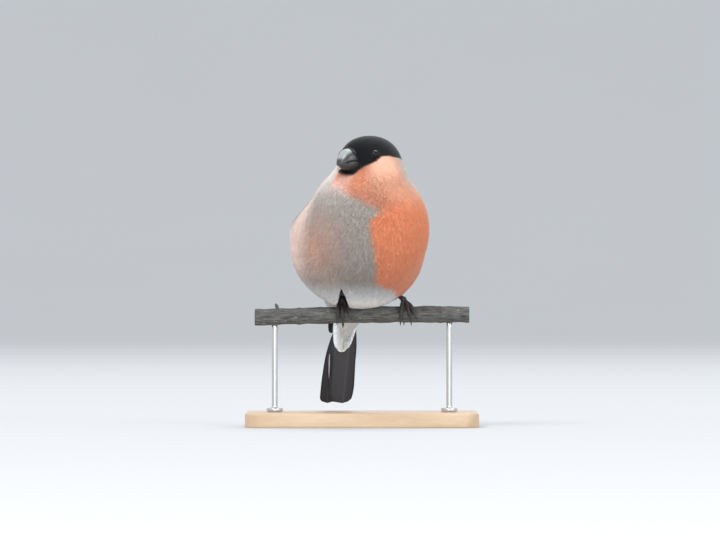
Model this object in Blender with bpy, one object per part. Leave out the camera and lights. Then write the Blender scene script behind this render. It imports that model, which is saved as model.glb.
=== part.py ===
# Eurasian bullfinch, life size, perched on a cut length of branch over a display stand.
#
# The sizes below are in millimetres and become metres when a mesh is made. The stand, the
# branch and the feet use the world's axes: X to the right of the viewer, Y away from the
# viewer, Z up from the underside of the base. The bird itself uses its own axes, x forward,
# y to its left and z up, and hangs on one empty that turns them into the world's.

import math

import bmesh
import bpy
import numpy as np
from mathutils import Matrix, Vector

MM = 0.001
GAP = 0.3

# The stand and the branch
BASE_LENGTH = 128.0
BASE_DEPTH = 86.0
BASE_HEIGHT = 8.0
BASE_CORNER = 9.0
BASE_BEVEL = 1.2
PERCH_LENGTH = 118.0
PERCH_RADIUS = 4.5
PERCH_Y = -6.0
PERCH_Z = 61.6
PERCH_RISE = 1.6
PERCH_BOW = 0.7
PERCH_ROWS, PERCH_SIDES = 13, 16
ROD_RADIUS = 1.6
ROD_SPACING = 96.0
ROD_FOOT_RADIUS = 4.5
ROD_FOOT_HEIGHT = 2.0
ROD_FOOT_BEVEL = 0.5
ROD_SUNK = 1.5

# Where the bird sits and how far it is turned
BIRD_X = -1.7
BIRD_YAW = math.radians(15.0)
HEAD_YAW = math.radians(-58.0)

# The fluffed body as soft egg shapes: centre, half lengths, pitch and yaw in degrees
SKULL_X, SKULL_Y, SKULL_Z = 7.2, 2.6, 147.0
BLEND = 2.3


def head_to_bird(points):
    """Points ahead of, to the left of and at the height of the skull, in the bird's axes."""
    points = np.asarray(points, float)
    c, s = math.cos(HEAD_YAW), math.sin(HEAD_YAW)
    x = SKULL_X + points[..., 0] * c - points[..., 1] * s
    y = SKULL_Y + points[..., 0] * s + points[..., 1] * c
    return np.stack([x, y, points[..., 2]], axis=-1)


def head_egg(ahead, height, half_lengths):
    """An egg shape on the head's middle line."""
    return (head_to_bird((ahead, 0.0, height)), half_lengths, 0.0, HEAD_YAW)


def body_egg(centre, half_lengths, pitch):
    """An egg shape on the body, its long axis pitched up in front by so many degrees."""
    return (np.array(centre), half_lengths, math.radians(pitch), 0.0)


EGGS = {
    "belly": body_egg((-4.1, 0.0, 98.4), (27.7, 37.1, 35.1), 28.0),
    "breast": body_egg((8.5, 3.4, 110.3), (28.0, 33.1, 36.1), 26.0),
    "rump": body_egg((-22.0, 0.0, 82.6), (27.1, 14.9, 15.0), 88.0),
    "coverts": body_egg((-27.6, 0.0, 63.2), (23.9, 5.9, 7.2), 64.4),
    "ruff": body_egg((6.4, 5.2, 134.2), (19.0, 19.0, 19.0), 0.0),
    "skull": head_egg(-1.0, 146.4, (15.5, 14.0, 12.3)),
    "nape": head_egg(-6.5, 145.6, (12.5, 13.0, 12.0)),
    "face": head_egg(6.4, 147.8, (9.6, 6.2, 8.2)),
}

# The dip between the chin and the fluffed throat
CHIN_DIP = head_egg(19.4, 140.2, (5.2, 7.5, 3.8))
DIP_BLEND = 1.3

# Where the body is parted: a point and a direction for each thin cut
NECK_TOP = (np.array((6.0, 0.0, 133.5)), np.array((0.10, 0.0, 0.995)))
NECK_FOOT = (np.array((3.0, 0.0, 120.0)), np.array((0.16, 0.0, 0.987)))
TAIL_ROOT = (np.array((-26.0, 0.0, 62.0)), np.array((0.407, 0.0, 0.9134)))
TORSO_MIDDLE = (-4.0, 0.0, 97.0)
TORSO_ROWS, TORSO_SIDES = 30, 40
HEAD_MIDDLE_HEIGHT = 143.0
HEAD_ROWS, HEAD_SIDES = 28, 40
NECK_ROWS, NECK_SIDES = 7, 40

# Head
EYE_AHEAD, EYE_SIDE, EYE_HEIGHT = 5.8, 10.9, 148.9
EYE_RADIUS = 2.9
EYE_SUNK = 1.3
LID_RADIUS = 0.6
LID_STEPS, LID_SIDES = 16, 6
LID_RIM = 0.96
LID_SQUINT = 0.88
BILL_ROOT = 9.0
BILL_TIP = 23.2
BILL_OVERHANG = 1.3
BILL_HOOK = 0.9
BILL_ROWS, BILL_ARCH = 12, 9
LOWER_BILL_WIDTH = 0.93
BILL_HALF_WIDTH = 6.1
BILL_DOME = 0.8
CULMEN_HEIGHT = 152.8
CHIN_HEIGHT = 140.0
MOUTH_HEIGHT = 145.4
NOSTRIL_AHEAD = 17.4
NOSTRIL_TURN = math.radians(62.0)
NOSTRIL_RADIUS = 0.62

# Wings
WING_AXIS_START = np.array((0.0, 0.0, 112.0))
WING_AXIS_END = np.array((-24.0, 0.0, 66.0))
WING_START, WING_END = 5.0, 68.0
WING_EDGE, WING_CORE, WING_SWELL = 0.55, 1.0, 0.5
WING_RAMP = 22.0
VANE = 0.6
VANE_TILT = 0.5
ROOT_SINK = 1.3
LOWEST_VANE = 0.45

# Each tier of wing feathers, the lowest first: how many; the root and the end of the first and of
# the last feather, as distance down the back and share of the way across the wing; how much
# further the middle ones reach; half width, height over the body and number of segments
TIERS = {
    "primaries": (6, (34.0, 0.06), (69.0, 0.12), (44.0, 0.36), (65.0, 0.87), 6.6, 2.9, 0.9, 3),
    "secondaries": (4, (30.0, 0.26), (61.0, 0.30), (30.0, 0.62), (56.0, 0.70), 0.0, 3.4, 1.3, 3),
    "tertials": (3, (27.0, 0.64), (60.0, 0.66), (27.0, 0.84), (47.5, 0.86), 0.0, 4.2, 1.75, 3),
    "primary coverts": (2, (13.0, 0.05), (33.0, 0.04), (16.0, 0.19), (36.0, 0.20), 0.0, 3.0, 1.6, 2),
    "greater coverts": (5, (17.0, 0.24), (35.0, 0.22), (17.0, 0.84), (32.0, 0.88), 0.0, 4.3, 2.0, 3),
    "median coverts": (4, (8.0, 0.12), (22.5, 0.10), (8.0, 0.86), (20.5, 0.90), 0.0, 5.4, 2.15, 2),
}

# The wing's lower and upper edges: degrees from the spine at distances down the back
LOWER_EDGE = ((5.0, 20.0, 35.0, 50.0, 58.0, 66.0, 74.0), (65.0, 64.0, 59.0, 50.0, 41.0, 35.0, 32.0))
UPPER_EDGE = ((5.0, 20.0, 40.0, 55.0, 64.0, 74.0), (20.0, 14.0, 12.0, 14.0, 17.0, 22.0))

# Past the rump the wing runs on straight: least distance from its axis at places down the back
WING_STRAIGHT = ((0.0, 50.0, 60.0, 80.0), (0.0, 0.0, 11.0, 9.5))

# Tail
TAIL_LENGTH = 54.2
TAIL_HALF_WIDTH = 9.6
TAIL_DRIFT = -1.6
TAIL_NOTCH = 2.4
TAIL_STEP = 0.42
TAIL_PAIRS = 6
TAIL_FEATHER_START = 4.0
TAIL_MIDDLE_SPREAD = 0.7
TAIL_TILT = 0.16
TAIL_SIDE_STEP = 0.25
COVERTS_LENGTH = 22.0
COVERTS_SHIFT = -0.6
COVERTS_ROWS, COVERTS_SIDES = 12, 24
TAIL_RISE = 1.6
RECTRIX_HALF_WIDTH = 4.6
OUTER_GAP = 1.0
FEATHER = 0.62


def egg_distance(points, egg):
    """A smooth measure of how far points lie outside an egg shape, in millimetres."""
    centre, half_lengths, pitch, yaw = egg
    x, y, z = np.moveaxis(points - centre, -1, 0)
    x, y = x * math.cos(yaw) + y * math.sin(yaw), -x * math.sin(yaw) + y * math.cos(yaw)
    x, z = x * math.cos(pitch) + z * math.sin(pitch), -x * math.sin(pitch) + z * math.cos(pitch)
    a, b, c = half_lengths
    near = np.sqrt((x / a) ** 2 + (y / b) ** 2 + (z / c) ** 2)
    slope = np.sqrt((x / a ** 2) ** 2 + (y / b ** 2) ** 2 + (z / c ** 2) ** 2)
    return near * (near - 1.0) / np.maximum(slope, 1e-9)


def body_distance(points):
    """The egg shapes melted into one plump bird: below zero inside, above zero outside."""
    distances = np.stack([egg_distance(points, egg) for egg in EGGS.values()])
    nearest = distances.min(axis=0)
    plump = nearest - BLEND * np.log(np.exp(-(distances - nearest) / BLEND).sum(axis=0))
    return DIP_BLEND * np.logaddexp(plump / DIP_BLEND, -egg_distance(points, CHIN_DIP) / DIP_BLEND)


def reach(starts, directions, level=0.0, furthest=75.0):
    """How far each ray runs from inside the bird to its surface, found by halving."""
    low = np.zeros(starts.shape[:-1])
    high = np.full(starts.shape[:-1], furthest)
    for _ in range(26):
        middle = (low + high) / 2.0
        inside = body_distance(starts + directions * middle[..., None]) < level
        low = np.where(inside, middle, low)
        high = np.where(inside, high, middle)
    return high


def make_material(name, colour, roughness, metallic=0.0):
    material = bpy.data.materials.new(name)
    material.use_nodes = True
    shader = material.node_tree.nodes["Principled BSDF"]
    shader.inputs["Base Color"].default_value = (*colour, 1.0)
    shader.inputs["Roughness"].default_value = roughness
    shader.inputs["Metallic"].default_value = metallic
    material.diffuse_color = (*colour, 1.0)
    return material


def make_object(name, points, faces, material, parent=None):
    """A mesh object from points in millimetres, its faces turned outwards."""
    mesh = bpy.data.meshes.new(name)
    mesh.from_pydata((np.asarray(points) * MM).tolist(), [], faces)
    cleaned = bmesh.new()
    cleaned.from_mesh(mesh)
    bmesh.ops.recalc_face_normals(cleaned, faces=cleaned.faces)
    cleaned.to_mesh(mesh)
    cleaned.free()
    mesh.shade_smooth()
    obj = bpy.data.objects.new(name, mesh)
    if material is not None:
        mesh.materials.append(material)
    bpy.context.scene.collection.objects.link(obj)
    obj.parent = parent
    return obj


def ring_faces(rings, sides):
    """Faces of a tube of rings, closed by a flat cap at each end."""
    faces = []
    for i in range(rings - 1):
        for j in range(sides):
            k = (j + 1) % sides
            faces.append((i * sides + j, i * sides + k, (i + 1) * sides + k, (i + 1) * sides + j))
    faces.append(tuple(range(sides))[::-1])
    faces.append(tuple((rings - 1) * sides + j for j in range(sides)))
    return faces


def ring_object(name, rings, material, parent=None):
    """A closed solid from an array of rings, each a loop of as many points."""
    rings = np.asarray(rings)
    count, sides = rings.shape[:2]
    return make_object(name, rings.reshape(-1, 3), ring_faces(count, sides), material, parent)


def ball_faces(rows, sides):
    """Faces of a ball of rows between two poles; the poles come last in the point list."""
    faces = []
    for i in range(rows - 1):
        for j in range(sides):
            k = (j + 1) % sides
            faces.append((i * sides + j, i * sides + k, (i + 1) * sides + k, (i + 1) * sides + j))
    low, high = rows * sides, rows * sides + 1
    for j in range(sides):
        k = (j + 1) % sides
        faces.append((low, k, j))
        faces.append((high, (rows - 1) * sides + j, (rows - 1) * sides + k))
    return faces


def surface_ball(name, centre, rows, sides, level, material, parent):
    """The part of the bird's surface seen from one point inside it, as a closed ball."""
    tilt = (np.arange(rows) + 1.0) / (rows + 1.0) * math.pi - math.pi / 2.0
    turn = np.arange(sides) / sides * 2.0 * math.pi
    tilt, turn = np.meshgrid(tilt, turn, indexing="ij")
    rays = np.stack([np.cos(tilt) * np.cos(turn), np.cos(tilt) * np.sin(turn), np.sin(tilt)], axis=-1)
    rays = np.concatenate([rays.reshape(-1, 3), [[0.0, 0.0, -1.0], [0.0, 0.0, 1.0]]])
    starts = np.broadcast_to(np.asarray(centre, float), rays.shape)
    points = starts + rays * reach(starts, rays, level)[:, None]
    return make_object(name, points, ball_faces(rows, sides), material, parent)


def cut_flat(obj, plane, keep_side):
    """Cut an object's mesh by a plane, drop one side and close the cut flat."""
    point, normal = plane
    direction = Vector(normal).normalized() * keep_side
    work = bmesh.new()
    work.from_mesh(obj.data)
    whole = work.verts[:] + work.edges[:] + work.faces[:]
    offset = Vector(point) * MM + direction * (GAP / 2.0 * MM)
    cut = bmesh.ops.bisect_plane(
        work, geom=whole, dist=1e-7, plane_co=offset, plane_no=direction, clear_inner=True
    )
    rim = [item for item in cut["geom_cut"] if isinstance(item, bmesh.types.BMEdge)]
    bmesh.ops.contextual_create(work, geom=rim)
    bmesh.ops.recalc_face_normals(work, faces=work.faces)
    work.to_mesh(obj.data)
    work.free()


def keep_largest(obj):
    """Keep only the largest closed surface of an object's mesh."""
    work = bmesh.new()
    work.from_mesh(obj.data)
    unseen = set(work.verts)
    shells = []
    while unseen:
        shell = {unseen.pop()}
        edge_of_shell = list(shell)
        while edge_of_shell:
            vert = edge_of_shell.pop()
            for edge in vert.link_edges:
                other = edge.other_vert(vert)
                if other in unseen:
                    unseen.discard(other)
                    shell.add(other)
                    edge_of_shell.append(other)
        shells.append(shell)
    shells.sort(key=len)
    for shell in shells[:-1]:
        bmesh.ops.delete(work, geom=list(shell), context="VERTS")
    work.to_mesh(obj.data)
    work.free()


def combine(obj, others, operation, solver="EXACT"):
    """Join other objects to one, or cut it by them, and remove them."""
    group = bpy.data.collections.new(obj.name + "_pieces")
    bpy.context.scene.collection.children.link(group)
    for other in others:
        group.objects.link(other)
    modifier = obj.modifiers.new("combine", "BOOLEAN")
    modifier.operation = operation
    modifier.operand_type = "COLLECTION"
    modifier.collection = group
    modifier.solver = solver
    bpy.context.view_layer.update()
    evaluated = obj.evaluated_get(bpy.context.evaluated_depsgraph_get())
    mesh = bpy.data.meshes.new_from_object(evaluated)
    obj.modifiers.clear()
    obj.data = mesh
    for other in list(group.objects):
        bpy.data.objects.remove(other)
    bpy.data.collections.remove(group)
    keep_largest(obj)


def tube(name, path, radii, sides, material, parent=None):
    """A round tube along a path with its own radius at each point."""
    path = np.asarray(path, float)
    radii = np.broadcast_to(np.asarray(radii, float), (len(path),))
    along = np.gradient(path, axis=0)
    along /= np.linalg.norm(along, axis=1)[:, None]
    side = np.cross(along[0], (0.31, 0.87, 0.38))
    turn = np.arange(sides) / sides * 2.0 * math.pi
    rings = []
    for point, direction, radius in zip(path, along, radii):
        side = side - direction * np.dot(side, direction)
        side /= np.linalg.norm(side)
        other = np.cross(direction, side)
        circle = np.cos(turn)[:, None] * side + np.sin(turn)[:, None] * other
        rings.append(point + circle * radius)
    return ring_object(name, rings, material, parent)


def torso_ball(name, level, material, bird):
    """The body's surface, or one held off it, as a closed ball seen from its middle."""
    return surface_ball(name, TORSO_MIDDLE, TORSO_ROWS, TORSO_SIDES, level, material, bird)


def make_torso(material, bird):
    """Back, breast and belly, with a groove for the branch and a parting for each leg."""
    torso = torso_ball("torso", 0.0, material, bird)
    cut_flat(torso, NECK_FOOT, -1.0)
    cut_flat(torso, TAIL_ROOT, 1.0)
    hollows = [make_perch("groove", None, GAP)] + leg_pocket("left") + leg_pocket("right")
    combine(torso, hollows, "DIFFERENCE")


def make_neck(material, bird):
    """A slab of the body between two cuts, made of rings that lean from one cut to the other."""
    turn = np.arange(NECK_SIDES) / NECK_SIDES * 2.0 * math.pi
    rings = []
    for part in np.linspace(0.0, 1.0, NECK_ROWS):
        point = NECK_FOOT[0] * (1.0 - part) + NECK_TOP[0] * part
        normal = NECK_FOOT[1] * (1.0 - part) + NECK_TOP[1] * part
        normal /= np.linalg.norm(normal)
        point = point + normal * GAP / 2.0 * (1.0 - 2.0 * part)
        ahead = np.cross((0.0, 1.0, 0.0), normal)
        rays = np.cos(turn)[:, None] * ahead + np.sin(turn)[:, None] * np.array((0.0, 1.0, 0.0))
        starts = np.broadcast_to(point, rays.shape)
        rings.append(starts + rays * reach(starts, rays)[:, None])
    return ring_object("neck", rings, material, bird)


def bill_section(part):
    """Half width, culmen, mouth line and underside of the bill, from its root 0 to its tip 1."""
    narrow = 1.0 - part ** 3.0
    half_width = BILL_HALF_WIDTH * narrow ** 0.66
    mouth = MOUTH_HEIGHT + 0.5 * math.sin(math.pi * part) - 1.6 * part ** 4
    culmen = mouth + (CULMEN_HEIGHT - MOUTH_HEIGHT) * (1.0 - part ** 3.6) ** 0.75
    underside = mouth - (MOUTH_HEIGHT - CHIN_HEIGHT) * (1.0 - part ** 4.0) ** 0.8
    return half_width, culmen, mouth, underside


def make_bill(name, upper, material, bird):
    """One half of the bill as rings of a dome over a flat edge, drawn in to the tip."""
    length = BILL_TIP - BILL_ROOT
    if not upper:
        length -= BILL_OVERHANG
    bow = np.linspace(0.0, math.pi, BILL_ARCH)
    rings = []
    for part in np.sin(np.linspace(0.0, math.pi / 2.0, BILL_ROWS)):
        half_width, culmen, mouth, underside = bill_section(min(part, 0.985))
        if upper:
            floor, crest = mouth + GAP / 2.0, culmen
            hook = BILL_HOOK * part ** 6
        else:
            half_width *= LOWER_BILL_WIDTH
            floor, crest = mouth - GAP / 2.0, underside
            hook = 0.0
        side = np.append(half_width * np.cos(bow), half_width * np.array((-0.5, 0.0, 0.5)))
        lift = floor + (crest - floor) * np.sin(bow) ** BILL_DOME - hook
        lift = np.append(lift, [floor - hook] * 3)
        ahead = np.full(side.shape, BILL_ROOT + length * part)
        rings.append(head_to_bird(np.stack([ahead, side, lift], axis=-1)))
    return ring_object(name, rings, material, bird)


def nostrils(bird):
    """Two small pits near the root of the upper bill, where bristles lean over them."""
    half_width, culmen, mouth, _ = bill_section((NOSTRIL_AHEAD - BILL_ROOT) / (BILL_TIP - BILL_ROOT))
    side = half_width * math.cos(NOSTRIL_TURN)
    height = mouth + (culmen - mouth) * math.sin(NOSTRIL_TURN) ** BILL_DOME
    places = [head_to_bird((NOSTRIL_AHEAD, side * turn, height)) for turn in (1, -1)]
    return [ball("nostril", place, NOSTRIL_RADIUS, None, bird, 5, 6) for place in places]


def head_ball(name, level, material, bird):
    """The head's surface, or one held off it, as a closed ball seen from the skull's middle."""
    middle = head_to_bird((0.0, 0.0, HEAD_MIDDLE_HEIGHT))
    return surface_ball(name, middle, HEAD_ROWS, HEAD_SIDES, level, material, bird)


def make_head(material, bird):
    """The head with the rims of its lids raised on it and sockets sunk for the eyeballs."""
    head = head_ball("head", 0.0, material, bird)
    cut_flat(head, NECK_TOP, 1.0)
    combine(head, [make_lids(side, material, bird) for side in (1, -1)], "UNION")
    socket = EYE_RADIUS + GAP
    sockets = [ball("socket", eye_place(side)[0], socket, None, bird, 10, 18) for side in (1, -1)]
    combine(head, sockets, "DIFFERENCE")


def ball(name, centre, radius, material, bird, rings=8, sides=14):
    """A round ball at a place given in the bird's axes."""
    mesh = bpy.data.meshes.new(name)
    work = bmesh.new()
    place = Matrix.Translation(Vector(centre) * MM)
    bmesh.ops.create_uvsphere(work, u_segments=sides, v_segments=rings, radius=radius * MM, matrix=place)
    work.to_mesh(mesh)
    work.free()
    mesh.shade_smooth()
    if material is not None:
        mesh.materials.append(material)
    obj = bpy.data.objects.new(name, mesh)
    bpy.context.scene.collection.objects.link(obj)
    obj.parent = bird
    return obj


def eye_place(side):
    """The middle of an eyeball, sunk under the surface, and the way that it looks."""
    start = head_to_bird((0.0, 0.0, EYE_HEIGHT - 1.5))
    outward = head_to_bird((EYE_AHEAD, EYE_SIDE * side, EYE_HEIGHT)) - start
    outward /= np.linalg.norm(outward)
    depth = reach(start[None], outward[None])[0] - EYE_SUNK
    return start + outward * depth, outward


def make_lids(side, material, bird):
    """The rim of both lids, a ring that stands a little proud round the eye."""
    centre, outward = eye_place(side)
    level = np.cross(outward, (0.0, 0.0, 1.0))
    level /= np.linalg.norm(level)
    up = np.cross(level, outward)
    middle = centre + outward * (EYE_SUNK - 0.1)
    points = []
    faces = []
    for i in range(LID_STEPS):
        turn = 2.0 * math.pi * i / LID_STEPS
        spoke = math.cos(turn) * level + LID_SQUINT * math.sin(turn) * up
        for j in range(LID_SIDES):
            roll = 2.0 * math.pi * j / LID_SIDES
            away = spoke * (EYE_RADIUS * LID_RIM + LID_RADIUS * math.cos(roll))
            points.append(middle + away + outward * LID_RADIUS * math.sin(roll))
            k, n = (j + 1) % LID_SIDES, (i + 1) % LID_STEPS
            corners = ((i, j), (n, j), (n, k), (i, k))
            faces.append(tuple(ring * LID_SIDES + corner for ring, corner in corners))
    return make_object("lids", points, faces, material, bird)


def wing_place(along, around, side):
    """The wing's own axes in the bird's: distance down the back, angle from the spine."""
    axis = WING_AXIS_END - WING_AXIS_START
    axis = axis / np.linalg.norm(axis)
    dorsal = np.cross((0.0, 1.0, 0.0), axis)
    along, around = np.broadcast_arrays(np.asarray(along, float), np.asarray(around, float))
    starts = WING_AXIS_START + along[..., None] * axis
    rays = np.cos(around)[..., None] * dorsal
    rays = rays + side * np.sin(around)[..., None] * np.array((0.0, 1.0, 0.0))
    return starts, rays


def wing_surface(along, around, height, side):
    """Points at a height over the back and rump; past the rump the wing runs on straight."""
    starts, rays = wing_place(along, around, side)
    radius = reach(starts, rays, GAP)
    radius = np.maximum(radius, np.interp(along, *WING_STRAIGHT))
    return starts + rays * (radius + height)[..., None]


def wing_angle(along, across):
    """The angle from the spine at a share of the way from the wing's lower to its upper edge."""
    low = np.interp(along, *LOWER_EDGE)
    high = np.interp(along, *UPPER_EDGE)
    return np.radians(low + (high - low) * across)


def make_wing_core(name, side, material, bird):
    """The closed wing under its feathers, thin along its front edge."""
    rows, columns = 9, 5
    along = np.linspace(WING_START, WING_END, rows)[:, None] * np.ones(columns)
    across = np.ones(rows)[:, None] * np.linspace(0.0, 1.0, columns)
    around = wing_angle(along, across)
    swell = np.sin(math.pi * np.clip(across, 0.0, 1.0)) ** 0.5
    ramp = np.clip((along - WING_START) / WING_RAMP, 0.0, 1.0)
    upper = WING_EDGE + (WING_CORE - WING_EDGE + WING_SWELL * swell) * ramp
    top = wing_surface(along, around, upper, side)
    bottom = wing_surface(along, around, np.zeros_like(along), side)
    rings = []
    for i in range(rows):
        rings.append(np.concatenate([top[i], bottom[i][::-1]]))
    return ring_object(name, rings, material, bird)


def make_vane(name, rings, material, bird):
    """A flat feather from rings of four corners, two on its outer face and two on its inner.

    Both faces are split into triangles along the same diagonal, so that they never cross.
    """
    faces = []
    for i in range(len(rings) - 1):
        a, b, c, d = range(4 * i, 4 * i + 4)
        e, f, g, h = range(4 * i + 4, 4 * i + 8)
        faces += [(a, b, f), (a, f, e), (d, g, c), (d, h, g), (b, c, g, f), (a, e, h, d)]
    last = 4 * (len(rings) - 1)
    faces += [(3, 2, 1, 0), (last, last + 1, last + 2, last + 3)]
    return make_object(name, np.asarray(rings).reshape(-1, 3), faces, material, bird)


def feather_outline(part, tip_width):
    """The share of a feather's width at each share of its length, round at the tip."""
    fill = 0.55 + 0.45 * np.sin(np.pi / 2.0 * np.minimum(part / 0.45, 1.0))
    tip = np.clip((part - 0.8) / 0.2, 0.0, 1.0)
    return fill * (1.0 - (1.0 - tip_width) * tip ** 2.2)


def make_wing_vane(root, end, half_width, height, side, material, bird, segments):
    """One wing feather: root and end are places down the back and across the wing."""
    part = 1.0 - (1.0 - np.linspace(0.0, 1.0, segments + 1)) ** 1.25
    along = root[0] + (end[0] - root[0]) * part
    across = root[1] + (end[1] - root[1]) * part
    around = wing_angle(along, across)
    centre = wing_surface(along, around, np.zeros_like(along), side)
    starts, _ = wing_place(along, around, side)
    radius = np.linalg.norm(centre - starts, axis=1)
    spread = half_width * feather_outline(part, 0.35) / radius
    rise = height - ROOT_SINK * np.clip(1.0 - part / 0.3, 0.0, 1.0)
    thick = VANE / 2.0 * (1.0 - 0.25 * part)
    corners = []
    for turn, lift, face in ((1, 1, 1), (-1, -1, 1), (-1, -1, -1), (1, 1, -1)):
        level = np.maximum(rise + lift * VANE_TILT, LOWEST_VANE)
        corners.append(wing_surface(along, around + turn * spread, level + face * thick, side))
    return make_vane("vane", np.stack(corners, axis=1), material, bird)


def wing_feathers():
    """Every feather of a wing as root, end, half width, height and segments, lowest tier first."""
    for count, root, end, last_root, last_end, bulge, half_width, height, segments in TIERS.values():
        for share in np.linspace(0.0, 1.0, count):
            start = np.array(root) * (1.0 - share) + np.array(last_root) * share
            finish = np.array(end) * (1.0 - share) + np.array(last_end) * share
            finish[0] += bulge * math.sin(math.pi * share ** 0.75)
            yield start, finish, half_width, height, segments


def make_wing(name, side, material, bird):
    """A folded wing: a thin closed core with its feathers laid on in tiers, cut to fit the body."""
    wing = make_wing_core(name, side, material, bird)
    vanes = [
        make_wing_vane(root, end, half_width, height, side, material, bird, segments)
        for root, end, half_width, height, segments in wing_feathers()
    ]
    combine(wing, vanes, "UNION", "MANIFOLD")
    hollows = [torso_ball("body", GAP, None, bird), make_tail_core("root", None, bird, GAP)]
    combine(wing, hollows, "DIFFERENCE", "MANIFOLD")


def make_tail_core(name, material, bird, level=0.0):
    """The white cone of the under-tail coverts with the upper ones, from the tail's cut down."""
    root, normal = TAIL_ROOT
    down = -normal
    across = np.array((0.0, 1.0, 0.0))
    ahead = np.cross(across, down)
    turn = np.arange(COVERTS_SIDES) / COVERTS_SIDES * 2.0 * math.pi
    rays = np.cos(turn)[:, None] * ahead + np.sin(turn)[:, None] * across
    rings = []
    for i in range(COVERTS_ROWS):
        step = GAP / 2.0 + COVERTS_LENGTH * i / (COVERTS_ROWS - 1.0)
        point = root + down * step
        if i > 0:
            point = point + np.array((COVERTS_SHIFT, 0.0, 0.0))
        starts = np.broadcast_to(point, rays.shape)
        rings.append(starts + rays * np.maximum(reach(starts, rays, level), 0.6)[:, None])
    return ring_object(name, rings, material, bird)


def tail_point(down_by, across_by, layer):
    """Points on the tail: how far down it, how far to the left, how deep below its top."""
    root, normal = TAIL_ROOT
    down = -normal
    dorsal = np.cross((0.0, 1.0, 0.0), down)
    across_by = across_by + TAIL_DRIFT * (down_by / TAIL_LENGTH)
    down_by, across_by, height = (np.expand_dims(v, -1) for v in (down_by, across_by, TAIL_RISE - layer))
    return root + down * down_by + dorsal * height + np.array((0.0, 1.0, 0.0)) * across_by


def make_tail_feathers(material, bird):
    """Twelve tail feathers in a closed fan: the middle pair on top, each next one lower."""
    vanes = []
    part = 1.0 - (1.0 - np.linspace(0.0, 1.0, 7)) ** 1.3
    half = RECTRIX_HALF_WIDTH * feather_outline(part, 0.55)
    thick = FEATHER / 2.0 * (1.0 - 0.15 * part)
    furthest = TAIL_HALF_WIDTH - RECTRIX_HALF_WIDTH - TAIL_MIDDLE_SPREAD
    for number in range(TAIL_PAIRS):
        share = number / (TAIL_PAIRS - 1.0)
        length = TAIL_LENGTH - TAIL_NOTCH * (1.0 - share) ** 1.5
        down_by = TAIL_FEATHER_START + (length - TAIL_FEATHER_START) * part
        for side in (1, -1):
            spread = side * (TAIL_MIDDLE_SPREAD + furthest * share)
            layer = TAIL_STEP * number
            if side > 0:
                layer += TAIL_SIDE_STEP
            elif number == TAIL_PAIRS - 1:
                spread -= OUTER_GAP
            middle = spread * (0.3 + 0.7 * part ** 0.8)
            corners = []
            for turn, face in ((1, -1), (-1, -1), (-1, 1), (1, 1)):
                depth = layer + turn * side * TAIL_TILT + face * thick
                corners.append(tail_point(down_by, middle + turn * half, depth))
            vanes.append(make_vane("rectrix", np.stack(corners, axis=1), material, bird))
    return vanes


def make_tail(material, bird):
    """The tail's root in its covert feathers, with the tail feathers fused into it."""
    tail = make_tail_core("tail", material, bird)
    combine(tail, make_tail_feathers(material, bird), "UNION")


def perch_line(x):
    """Height of the branch's middle at a place along it: a slight rise to the right and a bow."""
    part = x / (PERCH_LENGTH / 2.0)
    return PERCH_Z + PERCH_RISE * 0.5 * part - PERCH_BOW * part ** 2


def make_perch(name, material, extra=0.0):
    """The cut length of branch, a little uneven; extra makes it fatter and longer."""
    half = PERCH_LENGTH / 2.0 + extra
    x = np.linspace(-half, half, PERCH_ROWS)
    path = np.stack([x, np.full(PERCH_ROWS, PERCH_Y), perch_line(x)], axis=-1)
    uneven = 0.12 * np.sin(x * 0.21) + 0.08 * np.sin(x * 0.53 + 1.0)
    return tube(name, path, PERCH_RADIUS + extra + uneven, PERCH_SIDES, material)


def perch_arc(x, start, end, distance, count):
    """Points that follow the branch round from its top, forwards over it by so many degrees."""
    angles = np.radians(np.linspace(start, end, count))
    y = PERCH_Y - distance * np.sin(angles)
    z = perch_line(x) + distance * np.cos(angles)
    return np.stack([np.full(count, float(x)), y, z], axis=-1)


# Each foot: name, place of its joint, and for each toe its place along the branch at the root
# and at the end, how far round the branch it reaches and how thick it is
TOE_RADIUS = 1.05
JOINT_RADIUS = 1.75
SHANK_RADII = (1.35, 1.2, 1.2, 1.4, 1.7)
CLAW_RADIUS = 0.82
CLAW_LENGTHS = (5.0, 4.2, 4.2, 4.2)
CLAW_HOOK = 0.9
TOE_CLEARANCE = 0.42
FEET = {
    "right": {
        "joint": (-10.8, PERCH_Y - 1.5, 69.8),
        "shank_top": (-11.2, PERCH_Y + 3.0, 77.0),
        "toes": ((-11.0, -10.6, 118.0), (-12.5, -13.5, 100.0), (-9.6, -6.8, 80.0), (-10.6, -10.2, -110.0)),
        "parting": 20.0,
    },
    "left": {
        "joint": (22.8, PERCH_Y - 0.5, 70.0),
        "shank_top": (15.8, PERCH_Y + 3.0, 75.5),
        "toes": ((24.0, 26.3, 104.0), (25.0, 29.0, 88.0), (22.2, 21.3, 112.0), (22.6, 23.0, -112.0)),
        "parting": 6.0,
    },
}


def toe_path(x_root, x_end, reach_round, count=7):
    """A toe's middle line, bent round the branch to the front or, below zero, to the back."""
    start = 8.0 if reach_round > 0.0 else -8.0
    path = perch_arc(0.0, start, reach_round, PERCH_RADIUS + TOE_RADIUS + TOE_CLEARANCE, count)
    x = x_root + (x_end - x_root) * np.linspace(0.0, 1.0, count) ** 0.8
    heights = np.array([perch_line(value) - perch_line(0.0) for value in x])
    path[:, 0] = x
    path[:, 2] += heights
    return path


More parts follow.
